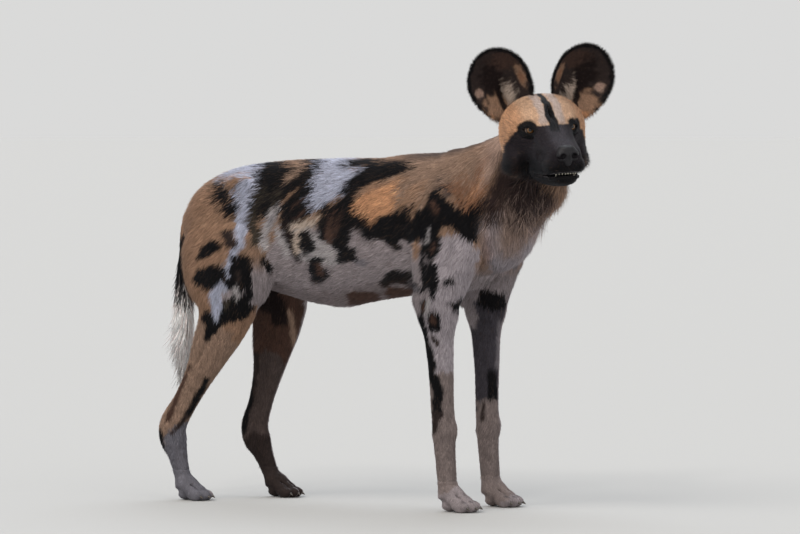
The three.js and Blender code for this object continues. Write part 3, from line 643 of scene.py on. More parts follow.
# On the side that the photograph shows, each blotch runs from one point of its 800 by 534 frame to
# another, with a radius at each end, all in its pixels, laid on the body along the line of sight.
SEEN = [
    ("grey", 300, 262, 34, 415, 262, 34), ("tan", 205, 212, 26, 205, 245, 26),
    ("tan", 196, 262, 18, 200, 330, 16), ("tan", 222, 330, 22, 240, 322, 20),
    ("fawn", 206, 352, 30, 184, 420, 26), ("pale", 300, 238, 14, 326, 256, 14),
    ("rose", 455, 255, 22, 448, 300, 20), ("rose", 440, 330, 22, 440, 372, 18),
    ("dust", 441, 395, 24, 441, 470, 24), ("heel", 186, 446, 22, 186, 500, 26),
    ("fawn", 420, 172, 20, 466, 172, 20), ("fawn", 416, 195, 13, 412, 216, 6),
    ("rust", 486, 166, 6, 475, 206, 9), ("rust", 458, 186, 8, 466, 204, 9),
    ("orange", 482, 176, 2, 477, 192, 3), ("umber", 440, 180, 4, 448, 194, 5),
    ("blush", 499, 136, 5, 490, 170, 7), ("blush", 488, 170, 5, 484, 184, 3),
    # rump and haunch
    ("white", 224, 180, 5, 246, 169, 8), ("white", 252, 171, 11, 246, 192, 11),
    ("white", 244, 192, 10, 243, 216, 8), ("white", 242, 216, 7, 240, 246, 4.5),
    ("white", 236, 250, 4.5, 228, 274, 5), ("white", 228, 274, 5, 225, 288, 4),
    ("tan", 230, 181, 3.5, 239, 179, 4), ("black", 217, 186, 5, 224, 194, 8),
    ("black", 223, 198, 10, 229, 208, 10.5), ("black", 230, 210, 6, 235, 216, 3),
    ("black", 262, 190, 9.5, 262, 208, 10.5), ("bark", 259, 189, 3, 261, 201, 4),
    ("bark", 252, 214, 5, 256, 240, 6), ("dark", 226, 236, 6, 233, 244, 5),
    ("black", 206, 251, 5.5, 214, 247, 6.5), ("black", 200, 257, 3, 208, 255, 3.5),
    ("black", 205, 278, 10.5, 216, 278, 12.5), ("black", 241, 267, 12.5, 240, 280, 13.5),
    ("dark", 238, 275, 3, 239, 279, 3), ("black", 263, 262, 4, 270, 270, 3),
    ("black", 246, 286, 5, 250, 298, 3), ("black", 214, 321, 9.5, 240, 305, 12.5),
    ("black", 208, 316, 6, 212, 326, 8), ("bark", 228, 302, 3, 226, 307, 3),
    ("white", 221, 286, 4, 216, 296, 6), ("white", 216, 296, 6, 216, 312, 5),
    ("white", 216, 312, 5, 217, 320, 2), ("pale", 236, 290, 3, 237, 298, 2.5),
    ("black", 207, 338, 3.5, 211, 332, 2.5),
    # saddle
    ("black", 268, 164, 7, 286, 178, 13), ("black", 276, 178, 13, 284, 200, 17),
    ("black", 318, 162, 8, 300, 184, 13), ("black", 302, 184, 15, 290, 204, 17),
    ("black", 306, 202, 12, 292, 214, 12), ("black", 312, 190, 7, 306, 208, 7),
    ("black", 262, 176, 6, 276, 164, 5), ("fawn", 303, 166, 3.5, 289, 180, 2),
    ("bark", 275, 193, 4, 276, 198, 4), ("tan", 296, 190, 1.2, 284, 202, 1.2),
    ("brown", 303, 199, 0.8, 289, 211, 1), ("brown", 308, 208, 1, 297, 218, 1.4),
    ("black", 285, 208, 6, 288, 226, 7), ("deep", 288, 226, 6, 292, 246, 6),
    ("deep", 294, 250, 3, 300, 262, 2), ("pale", 275, 211, 5, 267, 230, 4.5),
    ("pale", 267, 230, 4.5, 264, 248, 5), ("pale", 277, 228, 2.5, 288, 254, 4),
    ("slate", 273, 214, 1.2, 271, 226, 1.2), ("cream", 293, 227, 3.5, 314, 222, 4),
    ("cream", 299, 234, 4.5, 298, 250, 3), ("black", 306, 236, 6.5, 309, 248, 7.5),
    ("white", 340, 163, 15, 334, 182, 17), ("white", 330, 186, 15, 319, 199, 11),
    ("white", 351, 173, 8, 342, 192, 8), ("white", 322, 198, 9, 316, 206, 5),
    ("black", 348, 165, 3, 376, 163, 4), ("white", 358, 174, 3, 384, 165, 1.5),
    ("black", 329, 214, 10, 328, 232, 10), ("black", 343, 208, 8.5, 341, 240, 10),
    ("brown", 331, 216, 2.2, 330, 240, 4), ("brown", 340, 215, 1.2, 337, 235, 1.6),
    # flank, with its orange patch
    ("black", 354, 187, 8, 372, 178, 12), ("black", 372, 175, 12, 404, 169, 9),
    ("black", 350, 192, 7, 354, 216, 8), ("black", 358, 219, 9, 372, 229, 12),
    ("black", 374, 228, 13, 412, 226, 16), ("tan", 366, 190, 3, 390, 185, 5),
    ("fawn", 388, 184, 5, 414, 179, 8), ("tan", 365, 198, 9, 398, 186, 9),
    ("orange", 364, 204, 9, 393, 192, 8), ("orange", 371, 212, 9, 388, 202, 11),
    ("black", 405, 211, 7, 412, 216, 8), ("tan", 420, 188, 4, 411, 224, 2.2),
    ("tan", 412, 190, 4, 403, 208, 2), ("fawn", 402, 190, 6, 400, 198, 4),
    ("black", 392, 240, 5, 398, 246, 5), ("black", 345, 255, 8, 350, 254, 8.5),
    ("slate", 357, 263, 2.5, 364, 263, 4), ("black", 317, 265, 8, 321, 274, 9),
    ("brown", 319, 264, 2.5, 322, 273, 3), ("brown", 354, 297, 7, 374, 299, 7),
    ("black", 386, 282, 6, 394, 275, 5.5), ("black", 394, 275, 5.5, 408, 278, 6),
    ("black", 408, 280, 5, 421, 291, 3.5), ("brown", 392, 292, 6, 408, 292, 5),
    ("slate", 410, 282, 1.2, 420, 292, 1),
    # shoulder and arm
    ("black", 437, 198, 8, 444, 212, 11), ("black", 434, 208, 9, 430, 226, 10),
    ("black", 446, 215, 11, 474, 222, 11.5), ("black", 462, 226, 10, 471, 236, 7.5),
    ("black", 478, 208, 6, 479, 222, 5), ("brown", 433, 203, 2, 437, 212, 2.5),
    ("black", 418, 222, 10, 424, 232, 8), ("black", 428, 226, 8, 434, 246, 8.5),
    ("black", 430, 248, 7.5, 431, 256, 6), ("black", 422, 250, 2.5, 425, 290, 2.5),
    ("black", 431.5, 269, 6.5, 432, 284, 6.5), ("black", 432, 284, 6, 433, 298, 2.5),
    ("pale", 429.5, 229, 1.2, 428, 242, 1.6), ("brown", 434, 245, 1.5, 433, 251, 1.5),
    ("tan", 416, 246, 4, 417, 257, 3), ("black", 447, 283.5, 3.8, 451, 283.5, 4),
    ("black", 456, 307, 5.5, 462, 304, 5.5), ("black", 448, 304, 1.3, 449, 304, 1),
    ("black", 433.5, 318.5, 6.5, 434.5, 326, 6.5), ("brown", 433, 319, 3, 433.5, 322, 3),
    ("black", 421, 318, 3.5, 424, 334, 4.5), ("black", 424, 304, 3, 424, 311, 3),
    ("brown", 424, 306, 1.5, 424, 310, 1.5), ("pale", 429, 300, 1.6, 427, 314, 1.8),
    ("black", 426, 338, 3.5, 429, 356, 4), ("black", 430, 356, 4.5, 432, 376, 4.5),
    ("black", 434, 378, 5, 438, 394, 5), ("black", 438, 394, 5, 438, 414, 4.6),
    ("dark", 437, 416, 4.4, 434, 430, 3.6), ("dark", 433, 338, 2.5, 437, 344, 2),
    # neck and chest
    ("dark", 491, 200, 6, 496, 222, 7), ("rust", 487, 240, 4, 489, 256, 4),
    ("slate", 498, 262, 9, 512, 262, 8), ("dark", 500, 248, 2.5, 503, 254, 2),
    ("rose", 527, 240, 5, 524, 262, 4), ("deep", 488, 284, 4, 504, 279, 3),
    ("black", 486, 299, 8, 497, 302, 8),
    # shank
    ("brown", 190, 366, 1.5, 168, 420, 3), ("black", 207, 380, 2.6, 197, 398, 3.2),
    ("black", 197, 398, 3.2, 187, 416, 2.6), ("dark", 187, 416, 2, 172, 434, 2),
    ("black", 160, 432, 2, 163, 447, 2.5),
]
LEFT = [
    ("grey", -180, 470, 70, 120, 460, 70), ("tan", -400, 500, 70, -340, 420, 80),
    ("slate", 150, 460, 60, 180, 400, 50), ("grizzle", 60, 600, 70, 230, 640, 95),
    ("black", -300, 600, 40, -190, 590, 44), ("black", -60, 600, 52, 40, 560, 44),
    ("white", -130, 650, 40, -150, 560, 36), ("white", -95, 660, 34, -110, 630, 30),
    ("tan", -30, 600, 22, 30, 570, 24), ("brown", 40, 610, 20, 70, 560, 16),
    ("black", 96, 560, 18, 60, 540, 14), ("tan", -250, 604, 14, -226, 596, 10),
    ("black", -250, 520, 30, -170, 500, 24), ("orange", -240, 556, 18, -206, 540, 16),
    ("white", -300, 632, 24, -350, 626, 20), ("white", -352, 590, 14, -360, 520, 12),
    ("black", -390, 560, 18, -384, 500, 14), ("black", -330, 470, 28, -300, 430, 22),
    ("brown", -206, 514, 8, -186, 506, 8), ("white", -300, 520, 12, -276, 470, 10),
    ("brown", -326, 462, 8, -314, 446, 7), ("brown", -90, 400, 16, 20, 404, 14),
    ("black", -110, 470, 14, -90, 455, 12), ("black", -20, 470, 16, 0, 450, 13),
    ("cream", -60, 520, 14, -40, 505, 12), ("black", 60, 500, 20, 90, 480, 18),
    ("dark", -180, 440, 12, -160, 425, 10), ("black", 130, 590, 22, 190, 530, 28),
    ("orange", 236, 640, 26, 214, 580, 22), ("black", -60, 440, 8, -50, 436, 8),
    ("black", 120, 500, 18, 120, 400, 14), ("black", 190, 420, 16, 200, 380, 12),
    ("pale", 150, 380, 16, 160, 320, 14), ("black", 140, 330, 12, 136, 240, 10),
    ("dark", 150, 300, 22, 150, 180, 20), ("dust", 155, 140, 34, 160, 20, 44),
    ("black", -300, 360, 26, -280, 320, 20), ("tan", -330, 300, 40, -350, 200, 40),
    ("dark", -300, 280, 8, -330, 180, 8), ("black", -372, 250, 9, -368, 190, 8),
    ("heel", -350, 120, 36, -310, 20, 50), ("white", -380, 420, 10, -372, 380, 8),
]
# What shows between the legs: the inner faces of the left legs.
INNER = [
    ("night", 484, 322, 24, 484, 400, 22), ("grey", 468, 310, 8, 473, 322, 5),
    ("black", 486, 299, 10, 498, 303, 9), ("black", 492, 374, 5, 492, 400, 5),
    ("slate", 500, 322, 3, 498, 368, 2.5), ("dust", 487, 412, 13, 488, 480, 30),
    ("dark", 484, 404, 1.5, 482, 420, 2), ("brown", 270, 300, 36, 270, 350, 26),
    ("deep", 266, 298, 12, 282, 316, 11), ("umber", 266, 372, 20, 258, 440, 18),
    ("dark", 256, 356, 4, 250, 400, 5), ("black", 252, 340, 2.5, 250, 400, 3),
    ("black", 250, 400, 3, 243, 432, 3), ("fawn", 290, 312, 3, 294, 344, 2.5),
    ("dark", 262, 460, 26, 290, 480, 40),
]


def waver(points, size, seed):
    """A smooth wandering value of about -1 to 1, from a few crossed waves."""
    random = np.random.default_rng(seed)
    out = np.zeros(len(points))
    for k in range(5):
        direction = random.normal(size=3)
        direction *= 2 * np.pi * (0.6 + 0.9 * random.random()) / size / np.linalg.norm(direction)
        out += np.sin(points @ direction + random.random() * 7)
    return out / 3


def seen_at(points):
    """Where points of the body fall in the photograph's frame."""
    ahead = metres(points) - np.array(AIM)
    back = np.array(away)
    right = np.array([math.cos(AZIMUTH), math.sin(AZIMUTH), 0])
    size = PIXELS_PER_METRE / (1 - ahead @ back / DISTANCE)
    across, up = size * (ahead @ right), size * (ahead @ np.cross(back, right))
    return PHOTO_WIDTH / 2 + across, PHOTO_HEIGHT / 2 - up


def blotches(colour, rows, across, up, wander, unit_size=1.0):
    """Paint rows of blotches over a colour, in order, with edges that wander."""
    for paint, x1, z1, r1, x2, z2, r2 in rows:
        run = np.array([x2 - x1, z2 - z1], float)
        t = np.clip(((across - x1) * run[0] + (up - z1) * run[1]) / max(run @ run, 1), 0, 1)
        radius = r1 + t * (r2 - r1)
        away_by = np.hypot(across - x1 - t * run[0], up - z1 - t * run[1]) - radius
        gap = away_by + wander * np.minimum(radius * 0.24, 5 * unit_size)
        share = np.clip(0.5 - gap / (4 * unit_size), 0, 1)[:, None]
        colour = colour + share * (PAINT[paint] - colour)
    return colour


def smoothstep(value, low, high):
    """A soft step from 0 at low to 1 at high."""
    t = np.clip((value - low) / (high - low), 0, 1)
    return t * t * (3 - 2 * t)


def mix(colour, paint, share):
    """Paint over a colour by a share for each point."""
    return colour + np.clip(share, 0, 1)[:, None] * (PAINT[paint] - colour)


def past_neck_middle(points):
    """How far points lie to the left of the neck's bent middle."""
    return points[:, 1] - np.interp(points[:, 0], [165, 222, 264, 296, 318], [0, -3, -10, -26, -44])


def body_markings(points, normals):
    """The coat of the body: each side's blotches, the ruff, the belly and the tail's bands."""
    x, y, z = points.T
    wander = waver(points, 34, 1) + 0.5 * waver(points, 13, 2)
    base = np.tile(PAINT["grizzle"], (len(points), 1))
    base = mix(base, "grey", smoothstep(-z, -470, -430))
    u, v = seen_at(points)
    right = blotches(base, SEEN, u, v, wander, 0.55)
    left = blotches(base, LEFT, x, z, wander, 1.7)
    inner = blotches(base, INNER, u, v, wander, 0.55)
    facing = normals @ np.array(away)
    side = smoothstep(past_neck_middle(points) + 4 * wander, -9, 9)
    side = side * smoothstep(-facing + 0.06 * wander, -0.16, 0.1)
    colour = right + side[:, None] * (left - right)
    facing_in = smoothstep(facing - normals[:, 1], 0.0, 0.35) * (y > 20) * (1 - side)
    facing_in = facing_in * smoothstep(-z, -450, -425)
    colour = colour + facing_in[:, None] * (inner - colour)
    ridge = smoothstep(normals[:, 2], 0.8, 0.97) * smoothstep(x, -10, 60)
    colour = mix(colour, "soot", 0.75 * ridge * smoothstep(-x, -310, -250))
    front = smoothstep(x, 205, 235) * smoothstep(-z, -560, -530)
    colour = mix(colour, "rose", 0.7 * front)
    foot_of_ruff = v + 0.7 * np.maximum(u - 510, 0) + 5 * wander
    ruff = smoothstep(facing - 0.3 * normals[:, 1], 0.3, 0.7) * smoothstep(u, 492, 506)
    ruff = ruff * smoothstep(-foot_of_ruff, -262, -242)
    colour = mix(colour, "ruff", ruff * smoothstep(v, 186, 200))
    colour = mix(colour, "umber", ruff * smoothstep(-v + 6 * wander, -226, -206) * smoothstep(u, 500, 520))
    colour = mix(colour, "throat", ruff * smoothstep(-v + 5 * wander, -211, -197))
    # Painted shadow: two dark patches in the throat's paint under the jaw and the head, where the head's
    # shadow falls.
    shadow = smoothstep(-np.hypot(u - 504, v - 184) + 3 * wander, -16, -8)
    colour = mix(colour, "throat", shadow)
    shadow = smoothstep(-np.hypot(u - 495, 0.7 * (v - 210)) + 3 * wander, -15, -6)
    colour = mix(colour, "throat", shadow * (1 - side))
    under = smoothstep(-normals[:, 2], 0.5, 0.8) * (z > 340) * (x < 60)
    colour = mix(colour, "brown", 0.3 * under)
    tail = np.maximum(smoothstep(-x, 448, 462), (z < 400) * (x < -420))
    tail_colour = np.tile(PAINT["tan"], (len(points), 1))
    tail_colour = mix(tail_colour, "black", smoothstep(-z + 6 * wander, -515, -490))
    tail_colour = mix(tail_colour, "brush", smoothstep(-z + 9 * wander, -402, -376))
    return colour + (tail * (z > 170) * (np.abs(y) < 40))[:, None] * (tail_colour - colour)


def head_markings(points):
    """Black mask and eye rings, sandy crown with a dark stripe, rusty temples and a painted highlight on the
    muzzle.
    """
    local = to_head(points)
    x, y, z = local.T
    wander = waver(points, 26, 3) + 0.5 * waver(points, 9, 4)
    colour = np.tile(PAINT["sand"], (len(points), 1))
    colour = mix(colour, "orange", 0.75 * smoothstep(np.abs(y), 42, 62) * smoothstep(z, -50, -10))
    beside = smoothstep(-np.abs(np.abs(y) - 16 + 2 * wander), -12, -5)
    colour = mix(colour, "pale", 0.6 * beside * smoothstep(z, 6, 20))
    colour = mix(colour, "blush", smoothstep(-x, 56, 74) * smoothstep(-z, -30, 10))
    colour = mix(colour, "grizzle", smoothstep(-x + 5 * wander, 70, 94) * smoothstep(z, 0, 30))
    edge = np.interp(z, [-90, -53, -26, 3, 9, 13, 40], [-58, -56, -29, 4, 22, 40, 48])
    mask = smoothstep(x - edge + 4.5 * wander, -3, 4)
    mask = np.maximum(mask, smoothstep(-z + 4 * wander, 62, 76) * smoothstep(x, -78, -64))
    colour = mix(colour, "soot", mask)
    # Painted highlight: inside the mask, the top of the muzzle is lightened to a bluish grey, as if lit from
    # above.
    bridge_highlight = smoothstep(-np.abs(y), -24, -10) * smoothstep(x, 24, 50) * smoothstep(z, -38, -22)
    colour = mix(colour, "night", 0.5 * mask * bridge_highlight)
    for hand in (-1, 1):
        reach = np.linalg.norm((local - EYE * (1, hand, 1) - (2, 0, 1)) * (1, 0.95, 1.3), axis=1)
        colour = mix(colour, "black", smoothstep(-reach + 2 * wander, -25, -20))
    stripe = 4.4 + 5.0 * smoothstep(-z, -72, -28) - np.abs(y + 1.5 + 1.2 * wander)
    colour = mix(colour, "black", smoothstep(stripe, -1.5, 1.5) * smoothstep(z, -4, 6))
    colour = mix(colour, "throat", smoothstep(-z + 5 * wander, 84, 98))
    return mix(colour, "black", mask * smoothstep(-z + 6 * wander, 40, 66))


# The skin as one piece in place of every solid of flesh, with a fine leathery grain that shows
# wherever the hair parts. It carries the same markings as the coat, a little darker.
def show_markings(material, shade=None):
    """Colour a material by the markings that its mesh carries, dimmed by the output given as shade."""
    nodes, links = material.node_tree.nodes, material.node_tree.links
    markings = nodes.new("ShaderNodeAttribute")
    markings.attribute_name = "markings"
    colour = markings.outputs["Color"]
    if shade is not None:
        dimmed = nodes.new("ShaderNodeVectorMath")
        dimmed.operation = "SCALE"
        links.new(colour, dimmed.inputs[0])
        links.new(shade, dimmed.inputs["Scale"])
        colour = dimmed.outputs["Vector"]
    links.new(colour, nodes["Principled BSDF"].inputs["Base Color"])


def add_grain(material, kind, output, grain_size, strength, depth):
    """Raise a pattern on a material, fixed to the object; gives back the pattern and the bump."""
    nodes, links = material.node_tree.nodes, material.node_tree.links
    place = nodes.new("ShaderNodeTexCoord")
    pattern = nodes.new(kind)
    pattern.inputs["Scale"].default_value = grain_size
    bump = nodes.new("ShaderNodeBump")
    bump.inputs["Strength"].default_value = strength
    bump.inputs["Distance"].default_value = depth
    links.new(place.outputs["Object"], pattern.inputs["Vector"])
    links.new(pattern.outputs[output], bump.inputs["Height"])
    links.new(bump.outputs["Normal"], nodes["Principled BSDF"].inputs["Normal"])
    return pattern, bump


def pelt(name, grain_size, depth, roughness, sheen, darker):
    """Hide or hair: the markings, mottled by a fine grain, with a faint cool sheen."""
    material = material_of(name, Roughness=roughness, Specular_IOR_Level=0.14, Sheen_Weight=sheen,
                           Sheen_Roughness=0.45, Sheen_Tint=(0.75, 0.85, 1.0, 1))
    noise, _ = add_grain(material, "ShaderNodeTexNoise", "Fac", grain_size, 0.8, depth)
    noise.inputs["Detail"].default_value = 4
    noise.inputs["Roughness"].default_value = 0.65
    spread = material.node_tree.nodes.new("ShaderNodeMapRange")
    spread.inputs["To Min"].default_value = 0.72 * darker
    spread.inputs["To Max"].default_value = 1.22 * darker
    material.node_tree.links.new(noise.outputs["Fac"], spread.inputs["Value"])
    show_markings(material, spread.outputs["Result"])
    return material


def joined(meshes):
    """Several meshes, each its points and its arrays of faces, as one."""
    starts = np.cumsum([0] + [len(points) for points, *_ in meshes])
    faces = [array + start for (_, *arrays), start in zip(meshes, starts) for array in arrays]
    return np.vstack([points for points, *_ in meshes]), faces


def at_cell(values, points):
    """What the trunk's block holds at each point."""
    index = np.round(points / trunk_space["cell"]).astype(int) - trunk_space["start"]
    return values[tuple(np.clip(index, 0, np.array(trunk_space["shape"]) - 1).T)]


def part_of(points):
    """The nearest of the body's parts, for points on the skin."""
    names = list(PARTS)
    values = np.stack([at_cell(PARTS[name], points) for name in names], 1)
    low = points[:, 2] < 120
    for i, name in enumerate(names):
        if name in STANCE:
            foot = np.array(STANCE[name]["foot"][:2]) * (1, STANCE[name]["side"])
            values[low, i] = np.hypot(*(points[low, :2] - foot).T) - 1000
    return np.array(names)[values.argmin(1)]


def markings(points, normals):
    """Body and head markings, mottled as if each tuft differed a little, and joined at the nape."""
    body = body_markings(points, normals)
    flow = np.array([-0.75, 0, -0.66])
    combed = points - 0.85 * (points @ flow)[:, None] * flow
    streaks = 0.13 * smoothstep(points[:, 2], 500, 590) * waver(combed, 9, 17)
    body = body * (1 + 0.09 * waver(points, 24, 15) + 0.09 * waver(points, 9, 16) + streaks)[:, None]
    mottling = 0.08 * waver(points, 15, 18) + 0.07 * waver(points, 6, 19)
    face = head_markings(points) * (1 + mottling)[:, None]
    neck, head = [at_cell(PARTS[name], points) for name in ("neck", "head")]
    share = smoothstep(to_head(points)[:, 0], -104, -92) * smoothstep(neck - head, -6, 10) * (head < 19)
    return body + share[:, None] * (face - body)


skin_points, skin_quads = joined(skin_pieces)
skin_quads = np.vstack(skin_quads)
skin_normals = normals_of(skin_points, skin_quads)
skin_parts = part_of(skin_points)


# Paint, strength, outward, up, half-width and half-height, as shares of the ear.
INSIDE_PATCHES = [
    ("brown", 0.6, -0.3, 0.5, 0.5, 0.28), ("deep", 1, 0.18, 0.0, 0.36, 0.55),
    ("tan", 1, 0.42, -0.6, 0.34, 0.3), ("blush", 0.8, 0.72, -0.12, 0.13, 0.12),
    ("tan", 1, -0.08, -0.62, 0.2, 0.26), ("deep", 1, 0.17, -0.55, 0.09, 0.3),
    ("tan", 1, -0.72, 0.04, 0.15, 0.26), ("rust", 0.7, -0.72, 0.0, 0.08, 0.18),
    ("dark", 1, -0.52, -0.2, 0.1, 0.4), ("cream", 1, -0.26, -0.34, 0.22, 0.3),
    ("tan", 0.8, -0.36, -0.68, 0.2, 0.16),
]


def ear_colours(points, polar, front):
    """Inside dark with pale and tan patches near the inner edge, outside black with a tan foot."""
    r, outer, up = polar[:, 0], polar[:, 1] * polar[:, 0], polar[:, 2] * polar[:, 0]
    wander = waver(points, 20, 6) + 0.5 * waver(points, 8, 7)
    if front:
        colour = np.tile(PAINT["dark"], (len(points), 1))
        for paint, strength, x, y, wide, tall in INSIDE_PATCHES:
            reach = np.hypot((outer - x) / wide, (up - y) / tall)
            colour = mix(colour, paint, strength * smoothstep(-reach + 0.3 * wander, -1.4, -0.7))
        colour = mix(colour, "orange", smoothstep(-up + 0.1 * wander, 0.74, 0.86))
        rim = smoothstep(r + 0.03 * wander, 0.88, 0.93) * smoothstep(up, -0.6, -0.3)
        return mix(colour, "black", rim)
    colour = mix(np.tile(PAINT["black"], (len(points), 1)), "brown", 0.5 * smoothstep(wander, 0.2, 1.0))
    return mix(colour, "tan", smoothstep(-up + 0.1 * wander, 0.62, 0.8))


meshes, colours = [(skin_points, skin_quads)], [markings(skin_points, skin_normals)]
for front, back, polar, axes in ear_shells.values():
    meshes.append(shell_mesh(front, back))
    flat_polar = polar.reshape(-1, 3)
    colours.append(ear_colours(front.reshape(-1, 3), flat_polar, True))
    colours.append(ear_colours(back.reshape(-1, 3), flat_polar, False))
    colours.append(np.tile(PAINT["deep"], (2, 1)))
hide = pelt("hide", grain_size=900, depth=0.0006, roughness=0.7, sheen=0.02, darker=0.74)
skin = make_object("skin", *joined(meshes), "coat", hide)
give_colours(skin, np.vstack(colours))
FLESH = ["torso", "neck", "tail", "tail_brush", "head", "lower_jaw", "ear_right", "ear_left"]
for word in ("right", "left"):
    FLESH += [name + word for name in ("shoulder_", "forearm_", "forepaw_", "thigh_", "shank_", "hindpaw_")]
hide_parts(*FLESH)

# The eyes: amber iris round a black pupil, a dark edge where the iris meets the white, and a clear
# wet front that bulges a little. Each looks ahead past its lids.
GAZE_YAW, GAZE_PITCH = 16, 3


def eye_mesh(radius, rings=39, sides=64):
    """A ball with its axis ahead along X and a slight bulge in front."""
    polar = np.linspace(0, np.pi, rings + 2)[1:-1][:, None]
    around = 2 * np.pi * np.arange(sides)[None] / sides
    bulge = 1.0 + 0.05 * np.clip(1 - (polar / 0.55) ** 2, 0, 1)
    ball = [np.cos(polar) + 0 * around, np.sin(polar) * np.cos(around), np.sin(polar) * np.sin(around)]
    points = (radius * bulge[..., None] * np.stack(ball, -1)).reshape(-1, 3)
    return np.vstack([points, [[radius * 1.05, 0, 0], [-radius, 0, 0]]]), *ring_faces(rings, sides, flip=True)


wet = material_of("eye_wet", Roughness=0.5, Specular_IOR_Level=0.1, Coat_Weight=0.85, Coat_Roughness=0.01)
show_markings(wet)
AMBER, IRIS_EDGE = np.array([0.13, 0.060, 0.018]), (0.012, 0.008, 0.007)
EYE_WHITE, PUPIL = (0.20, 0.14, 0.11), (0.002, 0.002, 0.002)
for word, hand in (("right", -1), ("left", 1)):
    points, quads, fans = eye_mesh(EYE_RADIUS)
    off = np.degrees(np.arccos(np.clip(points[:, 0] / np.linalg.norm(points, axis=1), -1, 1)))
    around = np.arctan2(points[:, 2], points[:, 1])
    streak = 0.5 + 0.5 * np.sin(23 * around + 3 * np.sin(5 * around))
    glow = 0.8 + 0.5 * smoothstep(-off, -30, -12)
    colour = AMBER * (0.65 + 0.6 * streak)[:, None] * glow[:, None]
    for part, shade in ((off > 34, IRIS_EDGE), (off > 44, EYE_WHITE), (off < 16, PUPIL)):
        colour = np.where(part[:, None], shade, colour)
    aim = HEAD_TURN @ turned(0, -GAZE_PITCH, hand * GAZE_YAW)
    placed = points @ aim.T + on_head(EYE * (1, hand, 1))
    eye = make_object("eyeball_" + word, placed, [quads, fans], "eye", wet)
    give_colours(eye, colour)
    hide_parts("eye_" + word)

# The nose: a pad of black pebbled leather with two comma-shaped nostrils that open to the sides, and
# a groove down its middle to the lip. It is always damp.
nose_space = block((385, -215, 645), (470, -105, 720), NOSE_CELL)
nose_grid = to_head(cell_points(nose_space))
nose = np.full(nose_space["shape"], BAND)
NOSE_FORMS = [  # centre, radii, softness, pressed in or not
    ((114, 0, -38), (14.5, 18, 14.5), 2, False), ((111, 0, -28), (15, 16, 7.5), 6, False),
    ((116, 0, -52), (8.5, 7, 8), 5, False),
]
for hand in (-1, 1):
    NOSE_FORMS += [
        ((117, hand * 13.5, -39.5), (10.5, 8, 10.5), 3.5, False),
        ((128, hand * 10.5, -41), (10, 5.8, 5.6), 1.4, True),
        ((121, hand * 18.5, -43.5), (9, 8, 2.6), 1.6, True),
    ]
NOSE_FORMS.append(((130, 0, -51), (5, 1.0, 14), 1.5, True))
for centre, radii, soft, dent in NOSE_FORMS:
    mould(nose, nose_space, centre, radii, soft, head=True, dent=dent)
nose = np.maximum(nose, 100 - nose_grid[..., 0])
nose_points, nose_quads = surface(nose, nose_space)
leather = material_of("nose_leather", Base_Color=(0.007, 0.006, 0.008, 1), Roughness=0.52,
                      Specular_IOR_Level=0.24, Coat_Weight=0.08, Coat_Roughness=0.3)
_, bump = add_grain(leather, "ShaderNodeTexVoronoi", "Distance", 700, 0.55, 0.0006)
bump.invert = True
nose_pad = make_object("nose_pad", nose_points, [nose_quads], "nose_leather", leather)
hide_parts("nose")

# The front teeth: six small incisors between two curved canines in each jaw, of ivory enamel that
# darkens at the gum. They stand in the gums just inside the lips.
enamel = material_of("enamel", Roughness=0.25)
show_markings(enamel)


def horn(length, radius, bend, blunt, rings=9, sides=12):
    """A curved tapering spike along +X that bends down, as for a tooth or claw, and how far along it is."""
    t = np.linspace(0, 1, rings)[:, None]
    around = 2 * np.pi * np.arange(sides)[None] / sides
    size = radius * (1 - t ** blunt) ** 0.75 + 0.05
    points = [length * t + 0 * around, size * np.cos(around) * 0.8, size * np.sin(around) - bend * t ** 2]
    points = np.stack(points, -1).reshape(-1, 3)
    points = np.vstack([points, points[:sides].mean(0), points[-sides:].mean(0)])
    return points, ring_faces(rings, sides), np.concatenate([np.repeat(t, sides), [0, 1]])


teeth, shares = [], []
draw = np.random.default_rng(9)
for z, up, reach, canine_length, incisor_length in ((-83.5, 1, 97.5, 8.5, 3.4), (-71.5, -1, 104, 7.0, 5.6)):
    for i in range(8):
        y = (i - 3.5) * 5.1 + draw.uniform(-0.4, 0.4)
        canine = i in (0, 7)
        length, radius, blunt = (canine_length, 2.5, 1.7) if canine else (incisor_length, 1.9, 4)
        points, faces, t = horn(length, radius, -1.2, blunt)
        points = points @ turned(draw.uniform(-6, 6), -90 * up + draw.uniform(-7, 7), 0).T
        points = points @ turned(0, 0, y * 2.0).T + (reach - y * y / 42, y, z - up * 1.0)
        teeth.append((on_head(points), *faces))
        shares.append(t)
tooth_row = make_object("teeth", *joined(teeth), "eye", enamel)
whiteness = 0.45 + 0.55 * smoothstep(np.concatenate(shares), 0.15, 0.5)
give_colours(tooth_row, np.array([0.60, 0.55, 0.46]) * whiteness[:, None])

# The lips' bare edges: black wet skin, a thin roll along each jaw that thins out at the mouth's
# corners. Each is a tube through the same points as the lip that it edges, smoothed.
def tube(path, radius, sides=10):
    """A smooth round roll along a path, thinning at both ends."""
    path = np.array(path, float)
    fine = np.linspace(0, len(path) - 1, 8 * len(path))
    path = np.stack([np.interp(fine, np.arange(len(path)), path[:, i]) for i in range(3)], 1)
    for _ in range(4):
        path[1:-1] = (path[:-2] + 2 * path[1:-1] + path[2:]) / 4
    along = np.gradient(path, axis=0)
    across = np.cross(along, [0, 0, 1.0])
    across /= np.linalg.norm(across, axis=1)[:, None]
    around = 2 * np.pi * np.arange(sides) / sides
    order = np.arange(len(path))
    size = radius * np.clip(np.minimum(order, len(path) - 1 - order) / 4, 0.05, 1)
    level, rise = np.cos(around)[None, :, None], np.sin(around)[None, :, None]
    spokes = across[:, None] * level + np.array([0, 0, 1.0]) * rise
    rings = path[:, None] + size[:, None, None] * spokes
    return np.vstack([rings.reshape(-1, 3), path[:1], path[-1:]]), *ring_faces(len(path), sides, flip=True)


